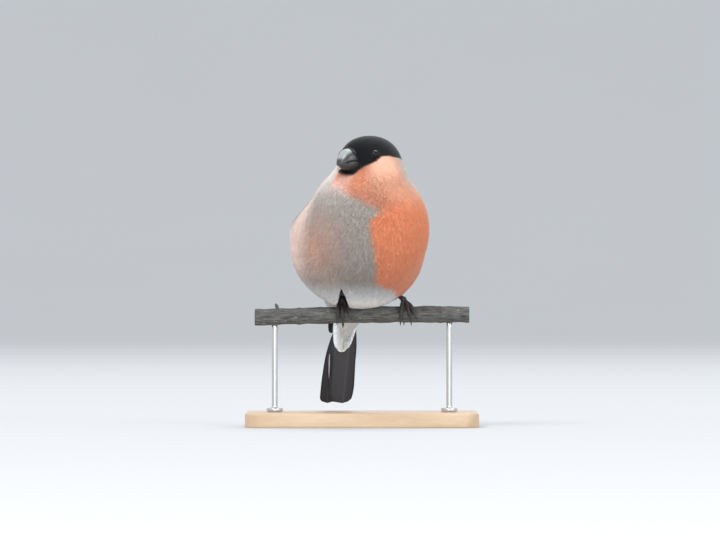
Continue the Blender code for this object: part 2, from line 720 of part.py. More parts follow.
def foot_pieces(side, material, extra=0.0):
    """The joint and the four toes of a foot, each as its own solid; extra makes them fatter."""
    facts = FEET[side]
    joint = np.array(facts["joint"])
    pieces = [ball("foot_" + side, joint, JOINT_RADIUS + extra, material, None, 7, 12)]
    for number, (x_root, x_end, reach_round) in enumerate(facts["toes"], 1):
        path = toe_path(x_root, x_end, reach_round)
        path[0] = path[0] * 0.4 + joint * 0.6
        radii = TOE_RADIUS * np.linspace(1.05, 0.86, len(path)) + extra
        pieces.append(tube("toe_" + str(number), path, radii, 8, material))
    return pieces


def make_foot(side, material):
    """One foot: its joint and four toes fused into one solid."""
    foot, *toes = foot_pieces(side, material)
    combine(foot, toes, "UNION")


def make_claws(side, material, extra=0.0):
    """A curved tapering claw at the end of each toe, going on round the branch."""
    claws = []
    for number, (x_root, x_end, reach_round) in enumerate(FEET[side]["toes"]):
        path = toe_path(x_root, x_end, reach_round)
        onward = path[-1] - path[-2]
        onward /= np.linalg.norm(onward)
        start = path[-1] + onward * GAP
        inward = np.array((0.0, PERCH_Y - start[1], perch_line(x_end) - start[2]))
        inward /= np.linalg.norm(inward)
        bow = np.linspace(0.0, 1.0, 5)[:, None]
        claw = start + CLAW_LENGTHS[number] * bow * onward + CLAW_HOOK * bow ** 2 * inward
        radii = CLAW_RADIUS * (1.0 - 0.78 * bow[:, 0]) + extra
        claws.append(tube("claw_{}_{}".format(side, number + 1), claw, radii, 6, material))
    return claws


def make_shank(side, material, extra=0.0):
    """The bare shank from the foot's joint up into the belly feathers."""
    facts = FEET[side]
    foot = np.array(facts["joint"])
    top = np.array(facts["shank_top"])
    along = (top - foot) / np.linalg.norm(top - foot)
    start = foot + along * (JOINT_RADIUS + GAP + 0.25)
    path = np.linspace(start, top + along * extra, 5)
    return tube("shank_" + side, path, np.array(SHANK_RADII) + extra, 10, material)


def leg_pocket(side):
    """The parting in the belly feathers that the leg comes out of, open to the front and below."""
    facts = FEET[side]
    foot = np.array(facts["joint"])
    top = np.array(facts["shank_top"])
    forward = facts["parting"]
    path = [
        top + (0.0, -3.0, -2.6),
        foot + (0.0, -0.25 * forward, -1.0),
        foot + (0.0, -0.5 * forward, -3.2),
        foot + (0.0, -forward, -8.0),
    ]
    opening = tube("pocket", path, (1.2, 3.4, 4.6, 6.5), 14, None)
    leg = [make_shank(side, None, GAP)] + foot_pieces(side, None, GAP) + make_claws(side, None, GAP)
    return [opening] + leg


def circle(x, y, z, radius, sides=16):
    """A level ring of points."""
    turn = np.arange(sides) / sides * 2.0 * math.pi
    return np.stack([x + radius * np.cos(turn), y + radius * np.sin(turn), np.full(sides, z)], axis=-1)


def make_base(material):
    """The flat base: a rectangle with round corners and a bevelled upper edge."""
    half = np.array((BASE_LENGTH / 2.0, BASE_DEPTH / 2.0))
    outline = []
    for quarter, corner in enumerate(((1, 1), (-1, 1), (-1, -1), (1, -1))):
        for step in range(7):
            turn = math.radians(90.0 * quarter + 15.0 * step)
            round_corner = BASE_CORNER * np.array((math.cos(turn), math.sin(turn)))
            outline.append(corner * (half - BASE_CORNER) + round_corner)
    outline = np.array(outline)
    rings = []
    for height, inset in ((0.0, 0.0), (BASE_HEIGHT - BASE_BEVEL, 0.0), (BASE_HEIGHT, BASE_BEVEL)):
        flat = outline * (1.0 - inset / half)
        rings.append(np.column_stack([flat, np.full(len(flat), height)]))
    ring_object("stand_base", rings, material)


def make_rod(name, x, material):
    """A rod on a small round foot, cut to cradle the branch that rests on it."""
    foot = BASE_HEIGHT + GAP
    shoulder = foot + ROD_FOOT_HEIGHT
    top = perch_line(x) - PERCH_RADIUS + ROD_SUNK
    heights = (foot, shoulder - ROD_FOOT_BEVEL, shoulder, shoulder + 0.01, top)
    radii = (ROD_FOOT_RADIUS, ROD_FOOT_RADIUS, ROD_FOOT_RADIUS - ROD_FOOT_BEVEL, ROD_RADIUS, ROD_RADIUS)
    rings = [circle(x, PERCH_Y, height, radius) for height, radius in zip(heights, radii)]
    rod = ring_object(name, rings, material)
    combine(rod, [make_perch("saddle", None, GAP)], "DIFFERENCE")


def main():
    for obj in list(bpy.data.objects):
        bpy.data.objects.remove(obj)

    bird = bpy.data.objects.new("bird", None)
    bpy.context.scene.collection.objects.link(bird)
    bird.location = (BIRD_X * MM, PERCH_Y * MM, 0.0)
    bird.rotation_euler = (0.0, 0.0, BIRD_YAW - math.pi / 2.0)
    bpy.context.view_layer.update()

    orange = make_material("orange_breast", (0.68, 0.23, 0.12), 0.85)
    black = make_material("black_cap", (0.02, 0.02, 0.025), 0.55)
    grey = make_material("grey_mantle", (0.3, 0.3, 0.31), 0.85)
    glossy = make_material("glossy_black_feather", (0.02, 0.02, 0.03), 0.4)
    horn = make_material("dark_horn", (0.05, 0.05, 0.05), 0.35)
    eye = make_material("dark_eye", (0.01, 0.006, 0.004), 0.05)
    skin = make_material("leg_skin", (0.09, 0.06, 0.05), 0.6)
    bark = make_material("grey_bark", (0.11, 0.11, 0.1), 0.8)
    wood = make_material("pale_wood", (0.62, 0.46, 0.3), 0.5)
    metal = make_material("brushed_steel", (0.6, 0.6, 0.6), 0.3, 1.0)

    make_perch("perch", bark)
    make_base(wood)
    make_rod("stand_rod_left", ROD_SPACING / 2.0, metal)
    make_rod("stand_rod_right", -ROD_SPACING / 2.0, metal)

    make_torso(orange, bird)
    make_neck(orange, bird)

    make_head(black, bird)
    for side, name in ((1, "left"), (-1, "right")):
        ball("eye_" + name, eye_place(side)[0], EYE_RADIUS, eye, bird, 8, 14)
    for name, upper in (("bill_upper", True), ("bill_lower", False)):
        bill = make_bill(name, upper, horn, bird)
        hollows = [head_ball("face", GAP, None, bird)]
        if upper:
            hollows += nostrils(bird)
        combine(bill, hollows, "DIFFERENCE")

    make_tail(glossy, bird)
    for side, name in ((1, "left"), (-1, "right")):
        make_wing("wing_" + name, side, grey, bird)
        make_foot(name, skin)
        make_claws(name, horn)
        make_shank(name, skin)


main()
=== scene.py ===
# %% [markdown]
# # A bullfinch on its perch
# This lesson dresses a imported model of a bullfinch: a fluffed winter bird that grips a cut length
# of branch over a small display stand. Its left half wears the orange breast of a male, its right
# half the buff grey of a female, and the line between them runs down the middle. The solids already
# have the right size and place, so every surface made here follows them, and each solid that is too
# plain to look at is swapped for a finer piece.

# %% Open the frame
import math

import bpy
import numpy as np
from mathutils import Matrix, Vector


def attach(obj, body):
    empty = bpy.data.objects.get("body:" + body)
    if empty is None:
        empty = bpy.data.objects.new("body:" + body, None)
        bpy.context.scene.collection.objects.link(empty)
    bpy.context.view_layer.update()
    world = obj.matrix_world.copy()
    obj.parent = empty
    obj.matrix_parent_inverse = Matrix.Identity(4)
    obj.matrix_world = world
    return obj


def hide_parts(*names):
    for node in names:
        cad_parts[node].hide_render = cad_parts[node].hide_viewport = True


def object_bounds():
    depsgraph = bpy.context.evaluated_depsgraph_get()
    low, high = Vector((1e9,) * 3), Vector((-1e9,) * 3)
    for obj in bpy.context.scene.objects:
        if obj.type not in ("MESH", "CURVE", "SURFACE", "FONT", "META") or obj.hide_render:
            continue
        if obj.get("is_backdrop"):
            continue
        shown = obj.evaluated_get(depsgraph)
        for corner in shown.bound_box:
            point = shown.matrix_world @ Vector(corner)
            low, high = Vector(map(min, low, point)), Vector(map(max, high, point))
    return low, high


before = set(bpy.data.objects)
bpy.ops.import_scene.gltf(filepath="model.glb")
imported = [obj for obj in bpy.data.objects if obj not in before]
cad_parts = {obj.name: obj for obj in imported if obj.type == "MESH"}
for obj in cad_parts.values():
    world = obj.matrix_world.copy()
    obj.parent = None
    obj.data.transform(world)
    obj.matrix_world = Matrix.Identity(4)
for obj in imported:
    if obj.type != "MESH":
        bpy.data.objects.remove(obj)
cad_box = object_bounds()
print("solids:", len(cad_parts), "nodes, size in mm", [round(v * 1000) for v in cad_box[1] - cad_box[0]])

# %% [markdown]
# ## Two sets of axes
# A bird is easiest to think about in its own axes: x forward, y to its left, z up, in millimetres.
# The head has a third set, because it is turned on the neck. Small functions take whole arrays of
# points from one set to another, so thousands of feathers are placed in one call.

# %% Axes of the head, the bird and the world
MM = 0.001
BIRD_X, PERCH_Y = -1.7, -6.0
BIRD_TURN, HEAD_TURN = math.radians(15.0 - 90.0), math.radians(-58.0)
SKULL = np.array((7.2, 2.6, 0.0))
AHEAD, LEFT, UP = np.eye(3)


def split(points):
    """The three coordinates of points, as three arrays."""
    return np.moveaxis(np.asarray(points, float), -1, 0)


def unit(vectors):
    """Vectors made one long."""
    return vectors / np.maximum(np.linalg.norm(vectors, axis=-1, keepdims=True), 1e-9)


def square_to(vectors, others):
    """Vectors less their part along unit others, made one long."""
    return unit(vectors - others * (vectors * others).sum(axis=-1, keepdims=True))


def turned(points, angle):
    """Points turned about the z axis: x' = x cos - y sin, y' = x sin + y cos."""
    x, y, z = split(points)
    c, s = math.cos(angle), math.sin(angle)
    return np.stack([x * c - y * s, x * s + y * c, z], axis=-1)


def bird_to_stand(points):
    """From the bird's axes to the stand's, still in millimetres."""
    return turned(points, BIRD_TURN) + (BIRD_X, PERCH_Y, 0.0)


def head_to_bird(points):
    """From ahead, left and height on the head to the bird's axes."""
    return turned(points, HEAD_TURN) + SKULL


def bird_to_head(points):
    """From the bird's axes to ahead, left and height on the head."""
    return turned(np.asarray(points, float) - SKULL, -HEAD_TURN)


# %% [markdown]
# ## The form under the feathers
# A fluffed bird has no edges: it is a few soft eggs that melt into each other. Each egg is an
# ellipsoid with a distance that is below zero inside, and a smooth minimum joins them. Sculpting
# would give the same look, but a distance can be asked about any point in space, so the skin and
# every feather's root and tip can be measured against the same plump form.

# %% Soft eggs
# Each egg is its middle, its half lengths, its pitch in degrees, and whether it turns with the head.
BLEND, DIP_BLEND = 2.3, 1.3
EGGS = [
    ((-4.1, 0.0, 98.4), (27.7, 37.1, 35.1), 28.0, False),
    ((8.5, 3.4, 110.3), (28.0, 33.1, 36.1), 26.0, False),
    ((-22.0, 0.0, 82.6), (27.1, 14.9, 15.0), 88.0, False),
    ((-27.6, 0.0, 63.2), (23.9, 5.9, 7.2), 64.4, False),
    ((6.4, 5.2, 134.2), (19.0, 19.0, 19.0), 0.0, False),
    ((-1.0, 0.0, 146.4), (15.5, 14.0, 12.3), 0.0, True),
    ((-6.5, 0.0, 145.6), (12.5, 13.0, 12.0), 0.0, True),
    ((6.4, 0.0, 147.8), (9.6, 6.2, 8.2), 0.0, True),
]
CHIN_DIP = ((19.4, 0.0, 140.2), (5.2, 7.5, 3.8), 0.0, True)


def egg_distance(points, egg):
    """Near the surface this is the distance to an ellipsoid: k (k - 1) / |gradient of k|.

    k is the length of the point after each axis is divided by its half length.
    """
    centre, half, pitch, on_head = egg
    x, y, z = split((bird_to_head(points) if on_head else points) - np.array(centre))
    c, s = math.cos(math.radians(pitch)), math.sin(math.radians(pitch))
    local = np.stack([x * c + z * s, y, z * c - x * s], axis=-1)
    near = np.sqrt(((local / half) ** 2).sum(axis=-1))
    slope = np.sqrt(((local / np.square(half)) ** 2).sum(axis=-1))
    return near * (near - 1.0) / np.maximum(slope, 1e-9)


def plump_distance(points):
    """Smooth minimum of all eggs: -b log(sum of exp(-d / b)), with the chin's dip taken out."""
    distances = np.stack([egg_distance(points, egg) for egg in EGGS])
    nearest = distances.min(axis=0)
    plump = nearest - BLEND * np.log(np.exp(-(distances - nearest) / BLEND).sum(axis=0))
    return DIP_BLEND * np.logaddexp(plump / DIP_BLEND, -egg_distance(points, CHIN_DIP) / DIP_BLEND)


# %% [markdown]
# ## What the feathers make room for
# The belly rests on the branch and parts round each leg. Both are hollows in the same distance: a
# bent cylinder for the branch, and a chain of round cones for each leg, opened to the front and
# downwards. A smooth maximum with the negative of a hollow takes it out and leaves a soft lip.

# %% The branch and the partings at the legs
PERCH_LENGTH, PERCH_RADIUS, PERCH_Z, PERCH_RISE, PERCH_BOW = 118.0, 4.5, 61.6, 1.6, 0.7
HOLLOW_BLEND = 0.5
JOINTS = {"right": (-10.8, -7.5, 69.8), "left": (22.8, -6.5, 70.0)}
SHANK_TOPS = {"right": (-11.2, -3.0, 77.0), "left": (15.8, -3.0, 75.5)}
PARTINGS = {"right": 20.0, "left": 6.0}


def perch_line(x):
    """Height of the branch's middle line: a slight rise to the right and a bow."""
    part = x / (PERCH_LENGTH / 2.0)
    return PERCH_Z + PERCH_RISE * 0.5 * part - PERCH_BOW * part ** 2


def perch_distance(points):
    """Distance outside the branch, for points in the stand's axes."""
    x, y, z = split(points)
    return np.hypot(y - PERCH_Y, z - perch_line(x)) - PERCH_RADIUS


def leg_distance(points, side):
    """Distance to the hollow round a leg: to the nearest of its round cones, less its radius."""
    foot, top, forward = np.array(JOINTS[side]), np.array(SHANK_TOPS[side]), PARTINGS[side]
    places = (top + (0.0, -3.0, -2.6), foot + (0.0, -0.25 * forward, -1.0),
              foot + (0.0, -0.5 * forward, -3.2), foot + (0.0, -forward, -8.0))
    radii = (1.0, 2.6, 3.6, 5.2)
    best = np.full(points.shape[:-1], 1e3)
    for a, b, ra, rb in zip(places[:-1], places[1:], radii[:-1], radii[1:]):
        run = b - a
        part = np.clip(((points - a) @ run) / (run @ run), 0.0, 1.0)
        gap = np.linalg.norm(points - a - part[..., None] * run, axis=-1)
        best = np.minimum(best, gap - (ra + (rb - ra) * part))
    return best


def leg_cleft(stand):
    """Depth inside the narrow cleft over the right leg: its half width less the distance from it."""
    x, y, z = split(stand)
    half = np.where(z < 75.6, 0.4 + 0.34 * (75.6 - z), -9.0)
    return np.where(y < PERCH_Y, half - np.abs(x + 11.2 - 0.08 * (74.0 - z)), -9.0)


def coat_distance(points):
    """The plump form with room for the branch and both legs."""
    stand = bird_to_stand(points)
    room = -perch_distance(stand)
    for side in JOINTS:
        room = np.maximum(room, -leg_distance(stand, side))
    return HOLLOW_BLEND * np.logaddexp(plump_distance(points) / HOLLOW_BLEND, room / HOLLOW_BLEND)


def outward(points, reach_by=0.7):
    """Unit directions away from the plump form: the slope of its distance along each axis."""
    return unit(np.stack([plump_distance(points + reach_by * axis) - plump_distance(points - reach_by * axis)
                          for axis in np.eye(3)], axis=-1))


def reach(starts, rays, level, distance, furthest=75.0):
    """How far each ray runs before the distance rises past a level, by halving 24 times."""
    low = np.zeros(starts.shape[:-1])
    high = np.full(starts.shape[:-1], furthest)
    for _ in range(24):
        middle = (low + high) / 2.0
        inside = distance(starts + rays * middle[..., None]) < level
        low, high = np.where(inside, middle, low), np.where(inside, high, middle)
    return high


print("chest depth in mm:", reach(100.0 * UP[None], AHEAD[None], 0.0, coat_distance).round(1))

# %% [markdown]
# ## From arrays to meshes
# Every piece below ends in one helper. It takes points and whole arrays of corners, and hands them
# to the mesh with foreach_set, which is far quicker than adding faces one by one. A closed piece
# must face outwards, so the helper adds up the signed volumes of all its faces and turns every face
# round if the sum is negative. Most shapes are tubes of rings with both ends closed on a point.

# %% Mesh helpers
def signed_volume(points, corners):
    """Six times the volume of a closed mesh: the sum of a . (b x c) over its faces."""
    a, b, c = points[corners[:, 0]], points[corners[:, 1]], points[corners[:, -1]]
    total = np.einsum("ij,ij->i", a, np.cross(b, c)).sum()
    if corners.shape[1] == 4:
        total += np.einsum("ij,ij->i", b, np.cross(points[corners[:, 2]], c)).sum()
    return total


def make_mesh(name, points, *corner_arrays, closed=True):
    """A mesh object from points in metres and arrays of three or four corners a face."""
    if closed and sum(signed_volume(points, corners) for corners in corner_arrays) < 0.0:
        corner_arrays = [corners[:, ::-1] for corners in corner_arrays]
    sizes = np.concatenate([np.full(len(corners), corners.shape[1]) for corners in corner_arrays])
    loops = np.concatenate([corners.ravel() for corners in corner_arrays])
    mesh = bpy.data.meshes.new(name)
    mesh.vertices.add(len(points))
    mesh.vertices.foreach_set("co", points.astype(np.float32).ravel())
    mesh.loops.add(len(loops))
    mesh.loops.foreach_set("vertex_index", loops.astype(np.int32))
    mesh.polygons.add(len(sizes))
    mesh.polygons.foreach_set("loop_start", (np.cumsum(sizes) - sizes).astype(np.int32))
    mesh.update(calc_edges=True)
    mesh.shade_smooth()
    obj = bpy.data.objects.new(name, mesh)
    bpy.context.scene.collection.objects.link(obj)
    return obj


def grid_corners(rows, columns):
    """Corners of the faces of a grid of points that is joined round its columns."""
    i, j = np.arange(rows - 1)[:, None], np.arange(columns)[None, :]
    k = (j + 1) % columns
    low, high = i * columns, (i + 1) * columns
    return np.stack([low + j, low + k, high + k, high + j], axis=-1).reshape(-1, 4)


def fan_corners(ring, centre):
    """Triangles that close a ring of points on one centre point."""
    return np.stack([ring, np.roll(ring, -1), np.full(len(ring), centre)], axis=-1)


def closed_rings(rings, ends=None):
    """Points and corners of a tube of rings, closed at each end on a point: its middle, or one given."""
    rows, sides = rings.shape[:2]
    points = np.concatenate([rings.reshape(-1, 3), rings[[0, -1]].mean(axis=1) if ends is None else ends])
    first = fan_corners(np.arange(sides)[::-1], rows * sides)
    last = fan_corners(np.arange(sides) + (rows - 1) * sides, rows * sides + 1)
    return points, grid_corners(rows, sides), np.concatenate([first, last])


def merged(parts):
    """Several (points, corner arrays...) lists as one, their corners moved on in step."""
    points, quads, triangles, count = [], [], [], 0
    for part_points, *part_corners in parts:
        points.append(part_points)
        for corners in part_corners:
            (quads if corners.shape[1] == 4 else triangles).append(corners + count)
        count += len(part_points)
    return [np.concatenate(group) for group in (points, quads, triangles) if group]


# %% [markdown]
# Finishing a piece gives it its colours and its unwrap, one value for each vertex, and its material.
# It also names the body that the piece rides on, and the solids that it stands in for. A still model
# has one body, so every piece rides on the root.

# %% Finishing a piece
def paint(obj, colours):
    """Write a colour for each vertex, or one for all, into the attribute that finishes read."""
    layer = obj.data.color_attributes.new("Plumage", "FLOAT_COLOR", "POINT")
    rgba = np.ones((len(obj.data.vertices), 4), np.float32)
    rgba[:, :3] = np.clip(colours, 0.0, 1.0)
    layer.data.foreach_set("color", rgba.ravel())


def unwrap_by_point(obj, name, places):
    """Write an unwrap from one place for each vertex."""
    corners = np.empty(len(obj.data.loops), np.int32)
    obj.data.loops.foreach_get("vertex_index", corners)
    layer = obj.data.uv_layers.new(name=name)
    layer.data.foreach_set("uv", np.clip(places, 0.0, 1.0)[corners].astype(np.float32).ravel())


def settle(obj, material, slot, *nodes):
    """Give a piece its finish, let it ride on the one body, and swap it for its solids."""
    obj.data.materials.append(material)
    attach(obj, "root")
    if nodes:
        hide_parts(*nodes)
    print(obj.name, len(obj.data.polygons), "faces")


def make_piece(name, parts, material, slot, *nodes, on_bird=True, colours=None, unwrap=None):
    """A whole piece from (points, corners...) lists in millimetres: made, painted and settled."""
    points, *corners = merged(parts)
    obj = make_mesh(name, (bird_to_stand(points) if on_bird else points) * MM, *corners)
    if unwrap is not None:
        unwrap_by_point(obj, "Vane", unwrap)
    if colours is not None:
        paint(obj, colours)
    settle(obj, material, slot, *nodes)
    return obj


# %% [markdown]
# ## Markings
# The colour of a small feather depends on where it grows. One function answers that for any points
# on the bird, so the skin and the coat always agree. It works like painting with soft masks: each
# mask is a smooth step of a height in millimetres or of an angle in degrees, and each colour is laid
# over the last. The colours are the photo's, read as plain sRGB and turned to linear light.

# %% Colours and masks
def srgb(red, green, blue):
    """A screen colour as linear light, by the sRGB curve."""
    value = np.array((red, green, blue)) / 255.0
    return np.where(value <= 0.04045, value / 12.92, ((value + 0.055) / 1.055) ** 2.4)


# The deep orange on this line is painted shade.
ORANGE, ORANGE_SHADE, ORANGE_PALE = srgb(228, 141, 102), srgb(190, 133, 112), srgb(224, 171, 145)
# The pale throat colour on this line is painted light on the bird's right side.
CHEEK, THROAT_PINK, PAINTED_THROAT_LIGHT = srgb(255, 204, 178), srgb(242, 192, 180), srgb(244, 232, 225)
BUFF_GREY, BUFF_PALE, BUFF_PINK = srgb(160, 153, 147), srgb(214, 208, 202), srgb(199, 157, 140)
# The pale rim colour on this line is painted light on the bird's right flank.
PAINTED_RIM_LIGHT, NAPE_PALE, DOWN_GREY = srgb(242, 214, 202), srgb(208, 196, 186), srgb(120, 118, 116)
# The brightest white on this line is the white belly with painted light from snow below.
VENT_WHITE, BELLY_WHITE_SNOW_LIT, COVERT_WHITE = srgb(220, 224, 227), srgb(250, 252, 253), srgb(238, 248, 255)
MANTLE_LEFT, MANTLE_RIGHT, CAP_BLACK = srgb(142, 148, 156), srgb(148, 142, 134), srgb(28, 30, 33)
WING_BLACK, WING_BAR = srgb(26, 27, 32), srgb(190, 192, 194)


def step(value, edge, width):
    """A smooth step from 0 to 1 as value rises past edge, over about width."""
    part = np.clip((value - edge) / width + 0.5, 0.0, 1.0)
    return part * part * (3.0 - 2.0 * part)


def between(value, low, low_width, high, high_width):
    """1 where value lies between two edges, each a smooth step of its own width."""
    return step(value, low, low_width) * (1.0 - step(value, high, high_width))


def over(below, *layers):
    """Lay colours over others, one after another, each where its own mask is 1."""
    for colour, mask in layers:
        below = below + (np.asarray(colour) - below) * mask[..., None]
    return below


# %% [markdown]
# A folded wing and a shut tail are fans, and each has its own natural measures. On the wing these
# are how far down the back a point lies, and its share of the way from the wing's lower edge to its
# upper one, where each edge is an angle round the body. On the tail they are how far down it a point
# lies and how far above its upper side. They are needed early, because markings follow them too.

# %% The wing's and the tail's own axes
WING_START = np.array((0.0, 0.0, 112.0))
WING_RUN = unit(np.array((-24.0, 0.0, -46.0)))
WING_UP = np.cross(LEFT, WING_RUN)
LOWER_EDGE = ((5, 20, 35, 50, 58, 66, 74), (65, 64, 59, 50, 41, 35, 32))
UPPER_EDGE = ((5, 20, 40, 55, 64, 74), (20, 14, 12, 14, 17, 22))
WING_STRAIGHT = ((0, 50, 60, 80), (0.0, 0.0, 11.0, 9.5))
TAIL_ROOT = np.array((-26.0, 0.0, 62.0))
TAIL_DOWN = unit(np.array((-0.407, 0.0, -0.9134)))
TAIL_TOP = np.cross(LEFT, TAIL_DOWN)


def wing_place(points):
    """How far down the wing points lie, and their share of the way from its lower to upper edge."""
    local = points - WING_START
    along = local @ WING_RUN
    around = np.degrees(np.arctan2(np.abs(local[..., 1]), local @ WING_UP))
    low, high = np.interp(along, *LOWER_EDGE), np.interp(along, *UPPER_EDGE)
    return along, (around - low) / (high - low)


def tail_place(points):
    """How far down the tail points lie, and how far above its upper side."""
    local = points - TAIL_ROOT
    return local @ TAIL_DOWN, local @ TAIL_TOP


# %% [markdown]
# The cap and chin are edged by a curve that runs round the head: low under the bill, up behind the
# eye, and level round the nape. The edge between the two halves wavers a little, as on the real
# bird: at each height it is a distance to the left of the middle line. Orange comes across the
# throat below the bill, a small grey notch cuts in under it, and near the vent orange gives way to
# white. Points wander a little before they are read, so edges break up as they do between feathers.

# %% Where each colour lies
HALF_EDGE = (
    (70, 73, 76.5, 78, 80, 90, 101, 107, 113, 117, 118.6, 121.2, 122.6, 125, 128.3, 131.5, 134.6, 150),
    (26, 20, 14, 7.5, 1.8, 0.6, -1.7, -3.3, -3.6, -1.1, 2.6, 3.2, 0.3, -5.4, -10.2, -13.4, -15.4, -18),
)
CAP_EDGE = (
    (0, 8, 16, 21, 26, 36, 46, 58, 66, 72, 86, 99, 118, 145, 180),
    (138.7, 138.7, 139, 139.6, 140.5, 142.5, 144, 145.5, 147.2, 148.3, 148.8, 148.3, 147.8, 146.6, 145),
)
BODY_MIDDLE_X = -2.0


def marking(points, seed=3):
    """The coat's colour at points on the bird, in linear light, with a little unevenness."""
    wander = np.random.default_rng(seed).normal(0.0, 1.0, points.shape)
    x, y, z = split(points + 0.7 * wander)
    ahead, side, height = split(bird_to_head(points + 0.22 * wander))
    round_head = np.degrees(np.arctan2(np.abs(side), ahead))
    round_body = np.degrees(np.arctan2(y, x - BODY_MIDDLE_X))
    on_head, on_neck = step(z, 131, 9), step(z, 128, 20)

    pink_patch = 0.85 * np.exp(-((round_body + 58) / 26) ** 2 - ((z - 101) / 16) ** 2)
    grey = over(BUFF_GREY, (BUFF_PALE, step(z, 125, 20) * 0.35),
                # Painted light: a pale wash of light over the throat on the bird's right side.
                (PAINTED_THROAT_LIGHT, step(z, 135, 15) * step(-round_head, -112, 50) * 0.9),
                (BUFF_PINK, pink_patch),
                # Painted light: a pale rim of light along the bird's right flank.
                (PAINTED_RIM_LIGHT, step(-round_body, 76, 26) * step(z, 84, 24) * 0.8),
                (VENT_WHITE, step(79.5 - 0.35 * np.minimum(x, 8) - z, 0, 11) * 0.95))
    # Painted shade: deeper orange in the hollow under the head, and a little over the lower breast.
    throat_shade = 0.85 * np.exp(-((z - 126) / 6.5) ** 2) * step(-round_head, -70, 30)
    orange = over(ORANGE, (ORANGE_SHADE, step(-z, -108, 30) * 0.2),
                  (ORANGE_PALE, step(z, 126, 16) * (0.35 + 0.45 * step(round_head, 45, 25))),
                  (ORANGE_SHADE, throat_shade),
                  (CHEEK, step(z, 139, 10) * step(-round_head, -104, 40) * step(round_head, 48, 26)),
                  (VENT_WHITE, step(73 - 0.4 * np.minimum(x, 8) - z, 0, 5)))

    half = step(y - np.interp(z, *HALF_EDGE) * step(x, 5, 12), 0, 4.4)
    half_head = step(side, -6.7 * step(ahead, 3, 10), 3)
    collar = step(z + 0.15 * (np.abs(round_body) - 50), 133, 12)
    colour = over(grey, (orange, half + (half_head - half) * step(z, 136, 8)),
                  (THROAT_PINK, step(z, 132.5, 6) * step(-round_head, -16, 16) * step(side, -6.4, 3) * 0.7),
                  (NAPE_PALE, collar * step(round_head, 108, 27) * 0.9),
                  # The lowest rim of the white belly, painted brighter as light thrown up by snow.
                  (BELLY_WHITE_SNOW_LIT, step(70.7 - z, 0, 2.6)))

    along, share = wing_place(points)
    behind = step(np.abs(round_body), 104 - 26 * on_neck, 14 + 8 * on_neck)
    behind = behind * (1 - on_head * step(-round_head, -112, 38))
    behind = behind * (1 - step(along, 6, 10) * (1 - step(share, 0.08, 0.12)))
    down, above = tail_place(np.stack([x, y, z], axis=-1))
    far_cheek = 3.0 * step(-side, 7.5, 1.6) * step(-round_head, -60, 30)
    cap = step(height, np.interp(round_head, *CAP_EDGE) + far_cheek, 0.9)
    return over(colour, (over(MANTLE_RIGHT, (MANTLE_LEFT, step(y, 0, 3))), behind),
                (VENT_WHITE, step(-z, -81, 5) * step(np.abs(round_body), 120, 16)),
                (COVERT_WHITE, step(down, -4, 7) * step(-above, -0.4, 1.2)),
                (WING_BLACK, step(down, -3, 4) * step(above, 0.4, 1.2)),
                (CAP_BLACK, cap * step(z, 136, 1)))


# %% [markdown]
# ## The skin
# One smooth skin lies under the whole coat, from the tips of the under-tail coverts to the crown.
# It is a grid worked out from a curved line inside the bird. From each place on the line, rays fan
# out to the form, held back by the depth of the coat: about 2.4 mm on the body and 1.1 mm on the
# head. The fans swing round to close both ends in a pole. Near the bill the skin is black, because
# it shows there; in the partings at the legs it is painted black as the shade inside them.

# %% Rays from a line inside the bird
SPINE = (
    (-35.0, 0.0, 47.5), (-28.5, 0.0, 60.0), (-20.0, 0.0, 76.0), (-10.0, 0.0, 90.0), (-3.0, 0.5, 101.0),
    (2.0, 1.0, 112.0), (5.0, 1.6, 123.0), (6.6, 2.2, 133.0), (7.2, 2.6, 140.0), (7.2, 2.6, 146.0),
)
SKIN_ROWS, SKIN_SIDES = 150, 120
TAIL_FAN, CROWN_FAN = 0.10, 0.80


def smooth_path(points, places):
    """A Catmull-Rom curve through points, read at places from 0 to 1."""
    points = np.asarray(points, float)
    padded = np.concatenate([2 * points[:1] - points[1:2], points, 2 * points[-1:] - points[-2:-1]])
    at = np.clip(places, 0.0, 1.0) * (len(points) - 1)
    i = np.minimum(at.astype(int), len(points) - 2)
    t = (at - i)[..., None]
    a, b, c, d = padded[i], padded[i + 1], padded[i + 2], padded[i + 3]
    return 0.5 * (2 * b + (c - a) * t + (2 * a - 5 * b + 4 * c - d) * t ** 2
                  + (3 * b - a - 3 * c + d) * t ** 3)


def full_turn(count):
    """Angles evenly round a circle."""
    return np.arange(count) / count * 2.0 * math.pi


def skin_rays(rows, sides):
    """Starts and directions of a grid of rays from the line inside the bird."""
    t = np.linspace(0.0, 1.0, rows)
    tail = np.clip(1.0 - t / TAIL_FAN, 0.0, 1.0)
    crown = np.clip((t - CROWN_FAN) / (1.0 - CROWN_FAN), 0.0, 1.0)
    lean = ((crown - tail) * math.pi / 2.0)[:, None, None]
    along = np.clip((t - TAIL_FAN) / (CROWN_FAN - TAIL_FAN), 0.0, 1.0)
    starts = smooth_path(SPINE, along)
    up = unit(smooth_path(SPINE, along + 0.02) - smooth_path(SPINE, along - 0.02))
    left = unit(LEFT - up * (up @ LEFT)[:, None])
    turn = full_turn(sides)[None, :, None]
    level = np.cos(turn) * np.cross(left, up)[:, None] + np.sin(turn) * left[:, None]
    rays = np.cos(lean) * level + np.sin(lean) * up[:, None]
    return np.broadcast_to(starts[:, None], rays.shape), rays


def coat_depth(points):
    """How deep the skin lies under the tips of the coat: least on the head, more round the bill."""
    height = points[..., 2]
    depth = 2.4 - 1.3 * step(height, 138, 14) - 0.6 * step(-height, -56, 16)
    ahead, side, lift = split(bird_to_head(points))
    by_bill = step(ahead, 10.8, 3) * step(-np.abs(side), -8.5, 3) * step(-np.abs(lift - 145.5), -8.5, 4)
    return depth + 1.2 * by_bill


